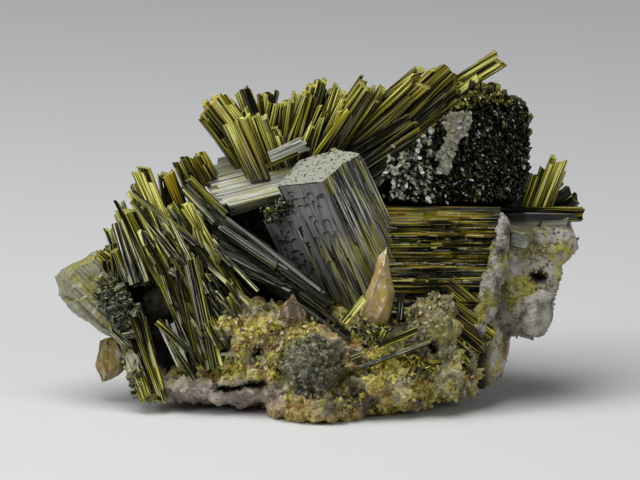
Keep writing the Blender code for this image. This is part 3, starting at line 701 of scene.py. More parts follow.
def add_face_sheet(store, start, stop, run, middle, columns, rows, height, tint, seed):
    """One side face of a prism as a fine sheet, raised and sunk by a height function."""
    across = stop - start
    out = outward(start, stop, run, middle)
    points, faces, tone, grain = [], [], [], []
    for i in range(columns + 1):
        for j in range(rows + 1):
            u, v = i / columns, j / rows
            rise, shade, foot = height(u * across.length, v * run.length)
            edge = min(1.0, 8 * u, 8 * (1 - u))
            points.append(placed(*(start + across * u + run * v + out * (rise * edge))))
            tone.append((shade, 1 - v, 0.0, 1 - foot))
            grain.append((u * across.length + seed, seed, -v * run.length))
    for i in range(columns):
        for j in range(rows):
            a = i * (rows + 1) + j
            b = a + rows + 1
            faces.append((a, b, b + 1, a + 1))
    first, beside, _, beyond = (points[i] for i in faces[0])
    if (beside - first).cross(beyond - first).dot(direction(out)) < 0:
        faces = [tuple(reversed(face)) for face in faces]
    store.add(points, faces, tone, tint, grain)


def striations(seed, narrow, wide, depth):
    """Heights of long flat strips side by side: one random level for each strip."""
    pick = random.Random(seed)
    edges, levels, shades = [0.0], [], []
    while edges[-1] < 120:
        edges.append(edges[-1] + pick.uniform(narrow, wide))
        levels.append(pick.uniform(-depth, depth))
        shades.append(pick.random())

    def at(u):
        strip = int(np.searchsorted(edges, u, side="right")) - 1
        strip = max(0, min(strip, len(levels) - 1))
        return levels[strip], shades[strip]

    return at


def smooth_face(seed):
    """The prism's front: broad flat strips with short notches, splintered near the foot."""
    strips = striations(seed, 3.0, 8.0, 0.35)
    splinters = striations(seed + 2, 0.9, 2.3, 1.0)
    pick = random.Random(seed + 1)
    ranges = ((2, 52), (6, 90), (3.5, 9.5), (8, 22))
    notches = [[pick.uniform(*ends) for ends in ranges] for _ in range(46)]

    def height(u, v):
        drift = 1.3 * noise_at(u * 0.05, v * 0.02, seed)
        level, shade = strips(u + drift)
        sunk = 0.0
        tone = 0.4 + 0.4 * shade
        for across, along, wide, tall in notches:
            du = (u - across) / wide * 2
            dv = v - along - 1.4 * du * du
            if abs(du) < 1 and 0 < dv < tall:
                sunk = max(sunk, 1 - dv / tall)
                # A painted shadow: the top edge of each notch, under its step, is set to the
                # darkest tone.
                if dv < 2.0:
                    tone = 0.0
        ripple = 0.3 * noise_at(u * 0.5, v * 0.06, seed + 5)
        sharp, light = splinters(u + drift)
        low = clamp((v + 0.2 * u - 60 - 16 * sharp) / 6)
        level += low * 1.4 * sharp
        tone += low * (1.25 * light - 0.15 - tone)
        foot = clamp((v + 0.2 * u + 20 * ripple - 64) / 24)
        return level + ripple - 1.9 * sunk, tone, foot

    return height


def ribbed_face(seed):
    """The prism's right side: narrow ribs, some bright, and no dark foot."""
    coarse = striations(seed, 2.5, 6.5, 0.9)
    fine = striations(seed + 1, 0.8, 2.0, 0.5)

    def height(u, v):
        drift = 1.6 * noise_at(u * 0.08, v * 0.015, seed)
        level, shade = coarse(u + drift)
        small, other = fine(u + drift)
        if noise_at(u * 0.4, v * 0.03, seed + 9) < -0.2:
            level -= 1.3
        return level + small, 0.2 + 0.8 * other * shade, 0.0

    return height


def bundle_face(seed):
    """The right bundle's front: finely ribbed, broken in places, calmer toward the top."""
    ribs = ribbed_face(seed)
    pick = random.Random(seed + 1)
    ranges = ((0, 108), (1.5, 6), (10, 105), (4, 40))
    breaks = [[pick.uniform(*ends) for ends in ranges] for _ in range(70)]

    def height(u, v):
        level, shade, foot = ribs(u, v)
        for across, wide, begin, long in breaks:
            if abs(u - across) < wide and begin < v < begin + long:
                level -= 1.6
                # Painted shade: the sunk breaks are darker.
                shade *= 0.7
        patch = 0.75 + 1.1 * noise_at(u * 0.045, v * 0.03, 3.3)
        calm = 0.65 * clamp((78 - u) / 30)
        shade += calm * (0.38 + 0.3 * shade - shade)
        return 1.2 * level, (0.2 + 0.66 * shade) * max(0.15, patch), foot

    return height


def add_prism_body(store, corners, run, shrink, sink=0.0):
    """The plain body under the faces of a prism, tinted dark as painted shade. Returns the middle
    of its end.
    """
    middle = sum(corners, Vector()) / len(corners)
    near = [middle + (corner - middle) * shrink + run.normalized() * sink for corner in corners]
    points = [placed(*corner) for corner in near]
    points += [placed(*(corner + run)) for corner in near]
    count = len(corners)
    faces = side_faces(count)
    faces.append(tuple(reversed(range(count))))
    faces.append(tuple(range(count, 2 * count)))
    tone = [(0.5, 0.5, 0.0, 1.0)] * len(points)
    grain = [(0.0, 0.0, 0.0)] * len(points)
    # Painted shade: the body shows dark between the strips.
    store.add(points, faces, tone, PAINTED_SHADE_TINT, grain)
    return middle


def add_pitted_top(store, corners, tint):
    """The end face of the central prism: a plate with small steps and sunken pits, the pits in
    painted shade.
    """
    origin = corners[0]
    up = Vector()
    for a, b in zip(corners, corners[1:] + corners[:1]):
        up += (a - origin).cross(b - origin)
    up = up.normalized() if up.y > 0 else -up.normalized()
    u = (corners[1] - origin).normalized()
    v = up.cross(u).normalized()
    flat = [((c - origin).dot(u), (c - origin).dot(v)) for c in corners]
    low_a, low_b = (min(values) for values in zip(*flat))
    high_a, high_b = (max(values) for values in zip(*flat))
    size = 0.9
    columns = int((high_a - low_a) / size) + 1
    rows = int((high_b - low_b) / size) + 1
    pitted = set()
    points, faces, pits, tone, grain = [], [], [], [], []
    for i in range(columns + 1):
        for j in range(rows + 1):
            a, b = low_a + i * size, low_b + j * size
            rough = noise_at(a * 0.08, b * 0.2, 3.1)
            dents = noise_at(a * 0.35, b * 0.5, 9.3)
            fine = noise_at(a * 0.9, b * 1.2, 4.4)
            sunk = -1.8 if dents < -0.50 or fine < -0.66 else 0.0
            if sunk:
                pitted.add(len(points))
            step = 0.8 * math.floor(rough * 3.0) / 3.0
            place = origin + u * a + v * b + up * (1.2 + step + sunk + 0.08 * fine)
            points.append(placed(*place))
            tone.append((0.5 + 0.5 * rough, 1.0, 0.0, 1.0))
            grain.append((a, b, 0.0))
    for i in range(columns):
        for j in range(rows):
            if inside_outline(low_a + (i + 0.5) * size, low_b + (j + 0.5) * size, flat):
                at = i * (rows + 1) + j
                ring = (at, at + rows + 1, at + rows + 2, at + 1)
                (pits if pitted.intersection(ring) else faces).append(ring)
    store.add(points, faces, tone, tint, grain)
    # The pits take the tint of painted shade.
    store.add(points, pits, tone, PAINTED_SHADE_TINT, grain)


def inside_outline(x, y, outline):
    crossed = False
    for (ax, ay), (bx, by) in zip(outline, outline[1:] + outline[:1]):
        if (ay > y) != (by > y) and x < ax + (y - ay) * (bx - ax) / (by - ay):
            crossed = not crossed
    return crossed


def build_prism(store):
    """The thick central prism, its lower ledge and its pitted end."""
    pick = random.Random(5)
    axis = Vector(PRISM_AXIS)
    run = axis * PRISM_LENGTH
    top = [Vector(corner) for corner in PRISM_TOP]
    front, right = (0.06, 0.0, 0.5, 0.0), (0.8, 0.15, 0.5, 0.85)
    middle = add_prism_body(store, top, run, 0.86, 5 * axis.length)
    for a, columns, rows, height, tint, seed in (
        (0, 110, 200, smooth_face(3), front, 7),
        (1, 90, 90, ribbed_face(4), right, 60),
        (2, 70, 90, ribbed_face(6), right, 90),
    ):
        add_face_sheet(
            store, top[a], top[a + 1], run, middle, columns, rows, height, tint, seed
        )
    for a, b in ((3, 4), (4, 5), (5, 0)):
        add_strips(store, pick, top[a], top[b], run, middle, 10, 1.4, right, 6, 0.03)
    run = axis * PRISM_LEDGE_LENGTH
    ledge = [Vector(corner) for corner in PRISM_LEDGE]
    middle = add_prism_body(store, ledge, run, 0.8)
    add_face_sheet(
        store, ledge[0], ledge[1], run, middle, 80, 140, smooth_face(13), front, 200
    )
    for a, b in ((1, 2), (3, 0)):
        add_strips(store, pick, ledge[a], ledge[b], run, middle, 8, 0.8, front, 8, 0.02)
    add_pitted_top(store, top, (0.12, 0.0, 0.9, 0.0))


def build_slab(store):
    pick = random.Random(8)
    run = Vector(SLAB_RUN)
    corners = [Vector(corner) for corner in SLAB_END]
    middle = add_prism_body(store, corners, run, 0.92)
    for a, b, count in ((0, 1, 15), (1, 2, 10), (4, 0, 14), (3, 4, 14), (2, 3, 12)):
        add_strips(
            store, pick, corners[a] + run, corners[b] + run, -run, middle + run, count, 1.6,
            (0.72, 0.35, 0.92, 0.4), 2, 0.10, 4.0,
        )


def build_bundle_front(store):
    """The right bundle's front: crystals grown together into one finely ribbed face."""
    start, stop, run = (Vector(place) for place in BUNDLE_FRONT)
    add_face_sheet(
        store, start, stop, run, start + Vector((50, -50, 50)), 170, 120, bundle_face(21),
        (0.64, 0.9, 0.12, 0.0), 400,
    )


def build_block(store, pale_store):
    """Crystals seen on their ends, over the front, the rim and the back of the block."""
    pick = random.Random(12)
    dark, olive, rim = (0.0, 0.15, 0.16, 0.9), (0.22, 0.1, 0.12, 1.0), (0.45, 0.2, 0.05, 0.7)
    painted_glint, plate = (0.0, 0.0, 1.5, 0.0), (0.35, 0.5, 0.60, 0.3)
    pitch = 2.6
    for row in range(52):
        for column in range(60):
            x = 64 + (column + 0.5 * (row % 2)) * pitch + pick.uniform(-0.9, 0.9)
            y = 218 + row * pitch * 0.9 + pick.uniform(-0.9, 0.9)
            if not inside_outline(x, y, BLOCK_OUTLINE):
                continue
            rough = noise_at(x * 0.05, y * 0.05, 1.7)
            ridge = noise_at((x + y * 0.5) * 0.12, (y - x * 0.5) * 0.03, 6.2)
            front = BLOCK_FRONT - 6 - 6 * rough - 5 * ridge - pick.random() * 3
            tint, slant, target = dark, 1.6, store
            above = y - PLATE_FOOT[1]
            half = 5 + above * 0.13 + 7 * noise_at(x * 0.14, y * 0.09, 8.8)
            on_plate = abs(x - PLATE_FOOT[0] - above * 0.32) < half and 0 < above < 60
            wide, high = pick.uniform(1.5, 3.4), pick.uniform(2.6, 6.5)
            chance = pick.random()
            if on_plate:
                tint, slant, target = plate, 0.4, pale_store
                front = BLOCK_FRONT - 14 - pick.random() * 1.5
                wide, high = wide * 2.0, high * 1.2
            elif y > 318 + (x - 150) * 0.1 and chance < 0.6:
                tint = rim
            # Near the left edge, grey-green flakes; the palest turn white as painted glints.
            elif x < 112 and chance < 0.24:
                tint, slant, target = (0.2, 0.6, pick.uniform(0.3, 1.8), 0.2), 0.5, pale_store
                wide, high = wide * 1.7, high * 1.3
            # A few crystals are painted nearly white, as painted glints.
            elif chance < 0.03:
                tint, target, wide = painted_glint, pale_store, wide * 0.5
            elif chance < 0.08:
                tint = olive
            root, tip = (x - pick.uniform(2, 7), y - pick.uniform(2, 7), 24), (x, y, front)
            roll = 0.5 + pick.uniform(-0.7, 0.7)
            size = (wide, high)
            add_crystal(target, pick, root, tip, size, roll, tint, pick.random(), 5, slant)
            root, tip = (x, y, 20), (x, y, BLOCK_BACK - 6 + pick.random() * 5 + 5 * rough)
            add_crystal(store, pick, root, tip, size, roll, olive, pick.random(), 5, slant)
    # A cluster of grey-green flakes near the left; the palest turn white as painted glints.
    for _ in range(48):
        x, y = pick.gauss(77, 8), pick.gauss(256, 10)
        tint = (0.2, 0.6, pick.uniform(0.2, 1.6), 0.2)
        size = (pick.uniform(2, 4), pick.uniform(3, 9))
        root, tip = (x, y, 0), (x, y, -38 - pick.random() * 8)
        roll = pick.uniform(0, 3)
        add_crystal(pale_store, pick, root, tip, size, roll, tint, pick.random(), 5, 0.6)
    for _ in range(120):
        share = pick.random()
        leg = pick.choice((0, 0, 0, 1, 1, 2))
        a, b = Vector(BLOCK_TEETH[leg]), Vector(BLOCK_TEETH[leg + 1])
        seat = a.lerp(b, share)
        out = Vector((b.y - a.y, a.x - b.x)).normalized() * -1
        if leg:
            out = (out * 0.6 + Vector((0.2, 0.9))).normalized()
        reach = pick.uniform(1, 7) if leg else pick.uniform(3, 11)
        z = pick.uniform(-36, 40)
        root = seat - out * 12 + Vector((pick.uniform(-3, 3), pick.uniform(-3, 3)))
        tip = seat + out * reach
        tint = rim if leg == 0 or pick.random() < 0.3 else olive
        wide = pick.uniform(2.5, 6)
        roll = pick.uniform(0, 3)
        root, tip, size = (*root, z), (*tip, z - 2), (wide, wide)
        add_crystal(store, pick, root, tip, size, roll, tint, pick.random(), 5, 0.5)


def wedge_corners(outline, back, half, inset):
    """The corners of an outline, with two nearer the middle for each, before and behind."""
    centre = sum((Vector(corner) for corner in outline), Vector((0, 0))) / len(outline)
    corners = []
    for corner in outline:
        inner = centre + (Vector(corner) - centre) * inset
        corners += [(*corner, back), (*inner, back - half), (*inner, back + half)]
    return centre, corners


def divided_hull(points, cuts):
    """The convex hull of some points, its faces divided into a grid."""
    shape = bmesh.new()
    for point in points:
        shape.verts.new(point)
    hull = bmesh.ops.convex_hull(shape, input=shape.verts)
    inside = [item for item in hull["geom_interior"] if isinstance(item, bmesh.types.BMVert)]
    bmesh.ops.delete(shape, geom=inside, context="VERTS")
    bmesh.ops.subdivide_edges(shape, edges=shape.edges, cuts=cuts, use_grid_fill=True)
    bmesh.ops.recalc_face_normals(shape, faces=shape.faces)
    shape.normal_update()
    return shape


def add_chunk(store, outline, back, half, run, tint, seed):
    """A broad lump with worn edges, its faces lined along one direction."""
    centre, corners = wedge_corners(outline, back, half, 0.72)
    shape = divided_hull(corners, 14)
    run = Vector(run).normalized()
    strips = striations(seed, 1.5, 6.0, 0.7)
    points, tone, grain = [], [], []
    for corner in shape.verts:
        flat = corner.co.xy - centre
        across = flat.x * run.y - flat.y * run.x
        broad = noise.noise(corner.co * 0.06 + Vector((seed, 0, 0)))
        level, shade = strips(across + 60 + 3 * broad)
        push = level * 0.8 + 3.0 * broad + 1.2 * noise.noise(corner.co * 0.2) - 1.6
        points.append(placed(*(corner.co + corner.normal * push)))
        tone.append((0.3 + 0.6 * shade, 0.8, 0.0, 1.0))
        grain.append((across + seed * 7, corner.co.z, flat.dot(run)))
    shape.verts.index_update()
    faces = [tuple(corner.index for corner in face.verts) for face in shape.faces]
    shape.free()
    store.add(points, faces, tone, tint, grain)


def build_band(store):
    """The broken end of the right bundle: a pale strip of stepped crystal ends."""
    pick = random.Random(31)
    for start, stop in zip(BAND_PATH, BAND_PATH[1:]):
        start, stop = Vector(start), Vector(stop)
        count = round((stop - start).length * 0.6)
        for i in range(count):
            seat = start.lerp(stop, (i + pick.random()) / count)
            z = seat.z + pick.uniform(0, 34)
            reach = pick.uniform(-8, 5)
            root = (seat.x - 13, seat.y - pick.uniform(-3, 3), z)
            tip = (seat.x + reach, seat.y + pick.uniform(-3, 3), z - pick.uniform(0, 6))
            size = (pick.uniform(3, 8), pick.uniform(4, 10))
            tint = (0.35, 0.1, 0.80, 0.0) if pick.random() < 0.6 else (0.9, 0.3, 0.4, 0.2)
            add_crystal(store, pick, root, tip, size, 0.0, tint, pick.random())


def lump_mesh(name, lumps, voxel):
    """Rough lumps grown into one skin of small even faces."""
    shape = bmesh.new()
    for middle, radii in lumps:
        made = bmesh.ops.create_icosphere(shape, subdivisions=3, radius=1)
        for corner in made["verts"]:
            seat = Vector(middle) * 0.013 + corner.co * 1.7
            rough = 1 + LUMP_ROUGHNESS * 2 * noise.noise(seat)
            out = corner.co.normalized()
            spread = Vector((out.x * radii[0], out.y * radii[1], out.z * radii[2])) * rough
            corner.co = placed(*(Vector(middle) + spread - out * LUMP_SHRINK))
    mesh = bpy.data.meshes.new(name)
    shape.to_mesh(mesh)
    shape.free()
    made = new_object(name, mesh)
    remesh = made.modifiers.new("skin", "REMESH")
    remesh.mode = "VOXEL"
    remesh.voxel_size = voxel
    bpy.context.view_layer.update()
    graph = bpy.context.evaluated_depsgraph_get()
    skin = bpy.data.meshes.new_from_object(made.evaluated_get(graph))
    made.modifiers.clear()
    made.data = skin
    return made


def dent_depth(grid, dents):
    """How far into a hollow a point of the drawing grid lies, from 0 to 1."""
    deepest = 0.0
    uneven = 0.5 * grid_noise(grid, 0.16)
    for x, y, across, up in dents:
        away = math.hypot((grid[0] - x) / across, (grid[1] - y) / up)
        deepest = max(deepest, min(1.0, 1.8 * (1.2 + uneven - away)))
    return deepest if grid[2] < 0 else 0.0


def roughen(mesh, depth, scale, dents):
    """Moves each corner in or out by layered noise and sinks the hollows in the front."""
    points = read_array(mesh.vertices, "co").astype(float)
    normals = read_array(mesh.vertices, "normal").astype(float)
    inward = np.array(direction((0, 0, DENT_DEPTH)))
    moved = np.empty_like(points)
    for i, (p, n, grid) in enumerate(zip(points, normals, to_grid(points))):
        seat = Vector(p) * scale
        near = noise.voronoi(seat * 1.6)[0]
        push = noise.fractal(seat, 0.8, 2.2, 4) + (1.1 * (near[1] - near[0]) - 0.35)
        moved[i] = p + n * depth * push + inward * dent_depth(grid, dents)
    moved[:, 2] = np.maximum(moved[:, 2], 0.0)
    mesh.vertices.foreach_set("co", moved.astype(np.float32).ravel())
    mesh.update()


def build_lump(name, lumps, voxel, surface, depth, scale, dents, shade):
    """One piece grown from rough lumps, with its colour zones at each corner."""
    made = lump_mesh(name, lumps, voxel)
    mesh = made.data
    mesh.materials.append(surface)
    roughen(mesh, depth, scale, dents)
    grid = to_grid(read_array(mesh.vertices, "co"))
    add_layer(mesh, "zone", [shade(point) for point in grid])
    return made


def rock_shade(grid):
    """Colour zones of the granular matrix: green, pink, dark, with painted shade in the hollows,
    and brown lip.
    """
    x, y, z = grid
    green = clamp(0.55 + 1.6 * grid_noise(grid, 0.035) + 0.8 * grid_noise(grid, 0.12))
    dark = 0.0
    dome = math.hypot((x + 8) / 31, (y - 60) / 30)
    if dome < 1.12 and z < -60:
        dark = clamp((1.12 - dome) * 5)
    dome = math.hypot((x - 112) / 28, (y - 96) / 38)
    if dome < 1.1 and z < -40:
        dark = max(dark, min(0.6, (1.1 - dome) * 4))
    pink = clamp((50 - y) / 12) if x < -34 else 0.0
    lip = clamp((30 - y) / 14) if -70 < x < 60 else 0.0
    # Painted shade: in the hollows, green and pink give way to dark.
    hollow_shade = dent_depth(grid, MATRIX_DENTS)
    return green * (1 - hollow_shade), pink * (1 - hollow_shade), max(dark, 1.6 * hollow_shade), lip


def core_shade(grid):
    """Colour zones of the massive parts: pale crust at the ends and behind, and pink; without
    crust, the near-black of painted shade.
    """
    x, y, z = grid
    wander = grid_noise(grid, 0.05)
    right = (x - 152 + 0.15 * (y - 120)) / 14
    left = (-200 - x) / 12
    behind = (z - 52) / 10
    crust = clamp(max(right, left, behind) + 0.5 * wander)
    # The hollow loses its crust and shows the near-black of painted shade.
    crust *= 1 - dent_depth(grid, CORE_DENTS)
    if x > 0 and z < 48:
        crust *= clamp((208 - y) / 6)
    return crust, clamp(0.35 + 1.6 * wander), 0.0, 0.0


def band_shade(grid):
    """The smoother lumps: pale all over, pinker where the noise says, with painted light at the
    right.
    """
    wander = grid_noise(grid, 0.07)
    return min(0.9, 0.75 + wander), clamp(0.35 + 1.5 * wander), 0.0, clamp((grid[0] - 186) / 8)


def crust_shade(grid):
    """Colour zones of the grains on the crust at the two ends."""
    wander, fine = grid_noise(grid, 0.05), grid_noise(grid, 0.15)
    green = clamp(0.35 + 1.2 * wander + 0.6 * fine)
    dark = min(0.8, max(0.0, 0.25 + 1.4 * fine)) if grid[0] > 0 else 0.3
    return green, clamp(0.2 - wander), dark, 0.1


def on_matrix(grid):
    _, pink, dark, _ = rock_shade(grid)
    return pink < 0.4 and dark < 1.1 and grid_noise(grid, 0.05) > -0.12


def on_crust(grid):
    x, y, z = grid
    beside_block = y > 200 and 120 < x < 206 and z < 40
    return core_shade(grid)[0] > 0.5 and grid_noise(grid, 0.06) > 0.02 and not beside_block


def scatter_grains(name, source, count, small, large, seed, surface, zones, keep):
    """Small angular grains standing in the skin of a lump mesh, as one joined mesh."""
    pick = random.Random(seed)
    polygons = source.data.polygons
    centres, normals = read_array(polygons, "center"), read_array(polygons, "normal")
    total = np.cumsum(read_array(polygons, "area", 1))
    grid = to_grid(centres)
    corners, faces, zone, shade = [], [], [], []
    for _ in range(count):
        at = int(np.searchsorted(total, pick.random() * total[-1]))
        at = min(at, len(centres) - 1)
        if not keep(grid[at]) or centres[at][2] < GRAIN_FLOOR or centres[at][1] < FRONT_LIMIT:
            continue
        size = pick.uniform(small, large)
        axis = Vector(normals[at]) + Vector([pick.uniform(-1, 1) for _ in range(3)]) * 0.9
        axis.normalize()
        side = axis.orthogonal().normalized()
        side = Matrix.Rotation(pick.uniform(0, 6.28), 3, axis) @ side
        other = axis.cross(side)
        seat = Vector(centres[at]) - Vector(normals[at]) * size * 0.35
        length = size * pick.uniform(0.7, 1.5)
        lean = pick.uniform(-0.5, 0.5)
        start = len(corners)
        for px, py in GRAIN_SECTION:
            base = side * px * size * 0.5 + other * py * size * 0.5
            corners.append(seat + base - axis * size * 0.3)
            corners.append(seat + base * 0.85 + axis * (length + lean * px * size))
        for i in range(4):
            a, b = start + 2 * i, start + 2 * ((i + 1) % 4)
            faces.append((a, b, b + 1, a + 1))
        faces.append(tuple(start + 2 * i + 1 for i in range(4)))
        zone.extend([zones(grid[at])] * 8)
        shade.extend([(pick.random(), pick.random(), pick.random(), 1.0)] * 8)
    mesh = bpy.data.meshes.new(name)
    mesh.from_pydata(corners, [], faces)
    add_layer(mesh, "zone", zone)
    add_layer(mesh, "tone", shade)
    mesh.materials.append(surface)
    mesh.update()
    return new_object(name, mesh)


class Graph:
    """Short calls for building a node material. A colour is three numbers."""

    def __init__(self, name):
        self.material = bpy.data.materials.new(name)
        self.material.use_nodes = True
        self.tree = self.material.node_tree
        self.surface = self.tree.nodes["Principled BSDF"]

    def node(self, kind, **settings):
        made = self.tree.nodes.new(kind)
        for key, value in settings.items():
            setattr(made, key, value)
        return made

    def fill(self, socket, value):
        if isinstance(value, bpy.types.NodeSocket):
            self.tree.links.new(value, socket)
        else:
            socket.default_value = (*value, 1.0) if socket.type == "RGBA" else value

    def fill_all(self, made, values):
        for key, value in values.items():
            self.fill(made.inputs[key], value)

    def attribute(self, name):
        return self.node("ShaderNodeAttribute", attribute_name=name)

    def split(self, name):
        seen = self.attribute(name)
        parts = self.node("ShaderNodeSeparateColor")
        self.fill(parts.inputs[0], seen.outputs["Color"])
        return (*parts.outputs, seen.outputs["Alpha"])

    def math(self, kind, a, b, clamped=False):
        made = self.node("ShaderNodeMath", operation=kind, use_clamp=clamped)
        self.fill_all(made, {0: a, 1: b})
        return made.outputs[0]

    def times(self, a, b, clamped=False):
        return self.math("MULTIPLY", a, b, clamped)

    def plus(self, a, b):
        return self.math("ADD", a, b)

    def mix(self, share, a, b):
        made = self.node("ShaderNodeMix", data_type="RGBA")
        self.fill_all(made, {0: share, 6: a, 7: b})
        return made.outputs[2]

    def span(self, value, low, high, to_low=0.0, to_high=1.0):
        made = self.node("ShaderNodeMapRange", clamp=True)
        self.fill_all(made, {0: value, 1: low, 2: high, 3: to_low, 4: to_high})
        return made.outputs[0]

    def noise(self, vector, scale, detail, rough):
        made = self.node("ShaderNodeTexNoise")
        values = {"Vector": vector, "Scale": scale, "Detail": detail, "Roughness": rough}
        self.fill_all(made, values)
        return made.outputs["Fac"]

    def lines(self, vector, across, along, detail=1.0, rough=0.5):
        """Noise drawn out along the third direction of the vector."""
        made = self.node("ShaderNodeVectorMath", operation="MULTIPLY")
        self.fill_all(made, {0: vector, 1: (across, across, along)})
        return self.noise(made.outputs[0], 1.0, detail, rough)

    def finish(self, values, height, strength, distance):
        """Fills the shader's own sockets and gives it relief."""
        made = self.node("ShaderNodeBump")
        self.fill_all(made, {"Strength": strength, "Distance": distance, "Height": height})
        self.fill_all(self.surface, {**values, "Normal": made.outputs[0]})
        return self.material


def epidote_material(name="epidote_surface", gloss=0.07, specular=0.34):
    """Nearly black olive to bright yellow-green, in lines along each crystal, with painted light
    and shade.
    """
    g = Graph(name)
    shade, along, end, _ = g.split("tone")
    yellow, amber, pale, deep = g.split("tint")
    grain = g.attribute("grain").outputs["Vector"]
    bands = g.lines(grain, 0.33, 0.008)
    lines = g.lines(grain, 0.95, 0.014)
    patches = g.lines(grain, 0.12, 0.04, 2.0)
    level = g.times(shade, 0.45)
    level = g.plus(level, g.span(bands, 0.38, 0.62, -0.36, 0.34))
    level = g.plus(level, g.span(lines, 0.38, 0.62, -0.30, 0.32))
    # Painted light and shade along each crystal: lighter toward the tip as a painted glow, darker
    # at the root as painted shade.
    level = g.plus(level, g.span(along, 0.1, 1.0, -0.08, 0.16))
    root_shade = g.times(deep, g.span(along, 0.95, 0.1, 0.0, 0.6))
    level = g.math("SUBTRACT", level, root_shade)
    level = g.plus(level, g.span(yellow, 0.0, 0.4, -0.80, -0.15))
    level = g.plus(level, g.span(yellow, 0.4, 1.0, 0.0, 0.5))
    ramp = g.node("ShaderNodeValToRGB")
    g.fill(ramp.inputs[0], level)
    bar = ramp.color_ramp.elements
    while len(bar) < len(EPIDOTE_RAMP):
        bar.new(0.5)
    for mark, (at, colour) in zip(bar, EPIDOTE_RAMP):
        mark.position, mark.color = at, (*colour, 1.0)
    amber_share = g.times(amber, g.span(patches, 0.42, 0.58))
    amber_share = g.times(amber_share, g.span(level, 0.2, 0.6, 0.0, 0.9), True)
    colour = g.mix(amber_share, ramp.outputs[0], (0.23, 0.13, 0.004))
    # Painted highlights: pale lines along the crystals, as many as the tint's pale share.
    streak = g.times(pale, g.span(lines, 0.53, 0.58))
    streak = g.times(streak, g.span(patches, 0.44, 0.56, 0.1, 1.0), True)
    colour = g.mix(streak, colour, (0.58, 0.59, 0.33))
    # Painted glow: the end faces of yellow crystals are lighter.
    rim = g.times(end, g.times(yellow, 0.6), True)
    colour = g.mix(rim, colour, (0.50, 0.49, 0.12))
    values = {
        "Base Color": colour,
        "Roughness": g.span(patches, 0.3, 0.7, gloss, gloss + 0.12),
        "IOR": 1.6,
        "Specular IOR Level": specular,
    }
    return g.finish(values, g.plus(bands, g.times(lines, 0.5)), 0.35, 0.0002)


def face_material():
    """The central prism, the slab and the other grey faces with fine lines."""
    g = Graph("prism_surface")
    shade, along, _, plain = g.split("tone")
    yellow, warm, pale, deep = g.split("tint")
    grain = g.attribute("grain").outputs["Vector"]
    lines = g.lines(grain, 0.62, 0.010, 2.0, 0.6)
    fine_lines = g.lines(grain, 1.25, 0.014, 1.0, 0.6)
    wide_lines = g.lines(grain, 0.5, 0.006)
    patches = g.lines(grain, 0.11, 0.035, 2.0)
    dark = (0.008, 0.007, 0.006)
    grey = g.mix(shade, (0.088, 0.084, 0.090), (0.215, 0.208, 0.208))
    grey = g.mix(g.span(pale, 0.6, 1.0), grey, (0.42, 0.43, 0.35))
    # Tints paler than 1.1 turn nearly white: painted glints on the block.
    grey = g.mix(g.span(pale, 1.1, 1.5), grey, (0.80, 0.81, 0.75))
    grey = g.mix(g.span(warm, 0.15, 1.0, 0.0, 0.8), grey, (0.27, 0.26, 0.15))
    # Very low tones turn dark; this draws the painted shadows of the notches.
    grey = g.mix(g.span(shade, 0.12, 0.0), grey, dark)
    gap = g.times(g.span(lines, 0.46, 0.425), g.span(deep, 0.0, 0.7, 0.45, 1.0))
    colour = g.mix(gap, grey, dark)
    foot = g.mix(g.span(along, 0.75, 0.35), dark, (0.075, 0.055, 0.008))
    colour = g.mix(g.span(deep, 0.5, 0.8), colour, foot)
    front = g.times(g.math("SUBTRACT", 1.0, plain), g.span(deep, 0.5, 0.3))
    colour = g.mix(g.times(front, g.span(wide_lines, 0.55, 0.50)), colour, dark)
    pale_lines = g.times(front, g.span(fine_lines, 0.53, 0.58))
    colour = g.mix(pale_lines, colour, (0.50, 0.49, 0.20))
    # Painted highlights: bright lines along the ribs of the prism's right side, stronger toward
    # its end.
    ribs = g.plus(g.span(wide_lines, 0.575, 0.61), g.span(fine_lines, 0.63, 0.66))
    ribs = g.times(g.span(deep, 0.5, 0.8), ribs, True)
    ribs = g.times(ribs, g.span(along, 0.25, 0.7, 0.15, 0.9), True)
    colour = g.mix(ribs, colour, (0.52, 0.54, 0.47))
    olive = g.times(yellow, g.span(patches, 0.47, 0.58), True)
    olive = g.times(olive, g.span(lines, 0.42, 0.54, 0.05, 1.0), True)
    colour = g.mix(olive, colour, (0.30, 0.28, 0.025))
    rough = g.span(patches, 0.3, 0.7, 0.26, 0.42)
    values = {"Base Color": colour, "Roughness": rough, "IOR": 1.6}
    return g.finish(values, g.plus(lines, g.times(fine_lines, 0.4)), 0.4, 0.0002)


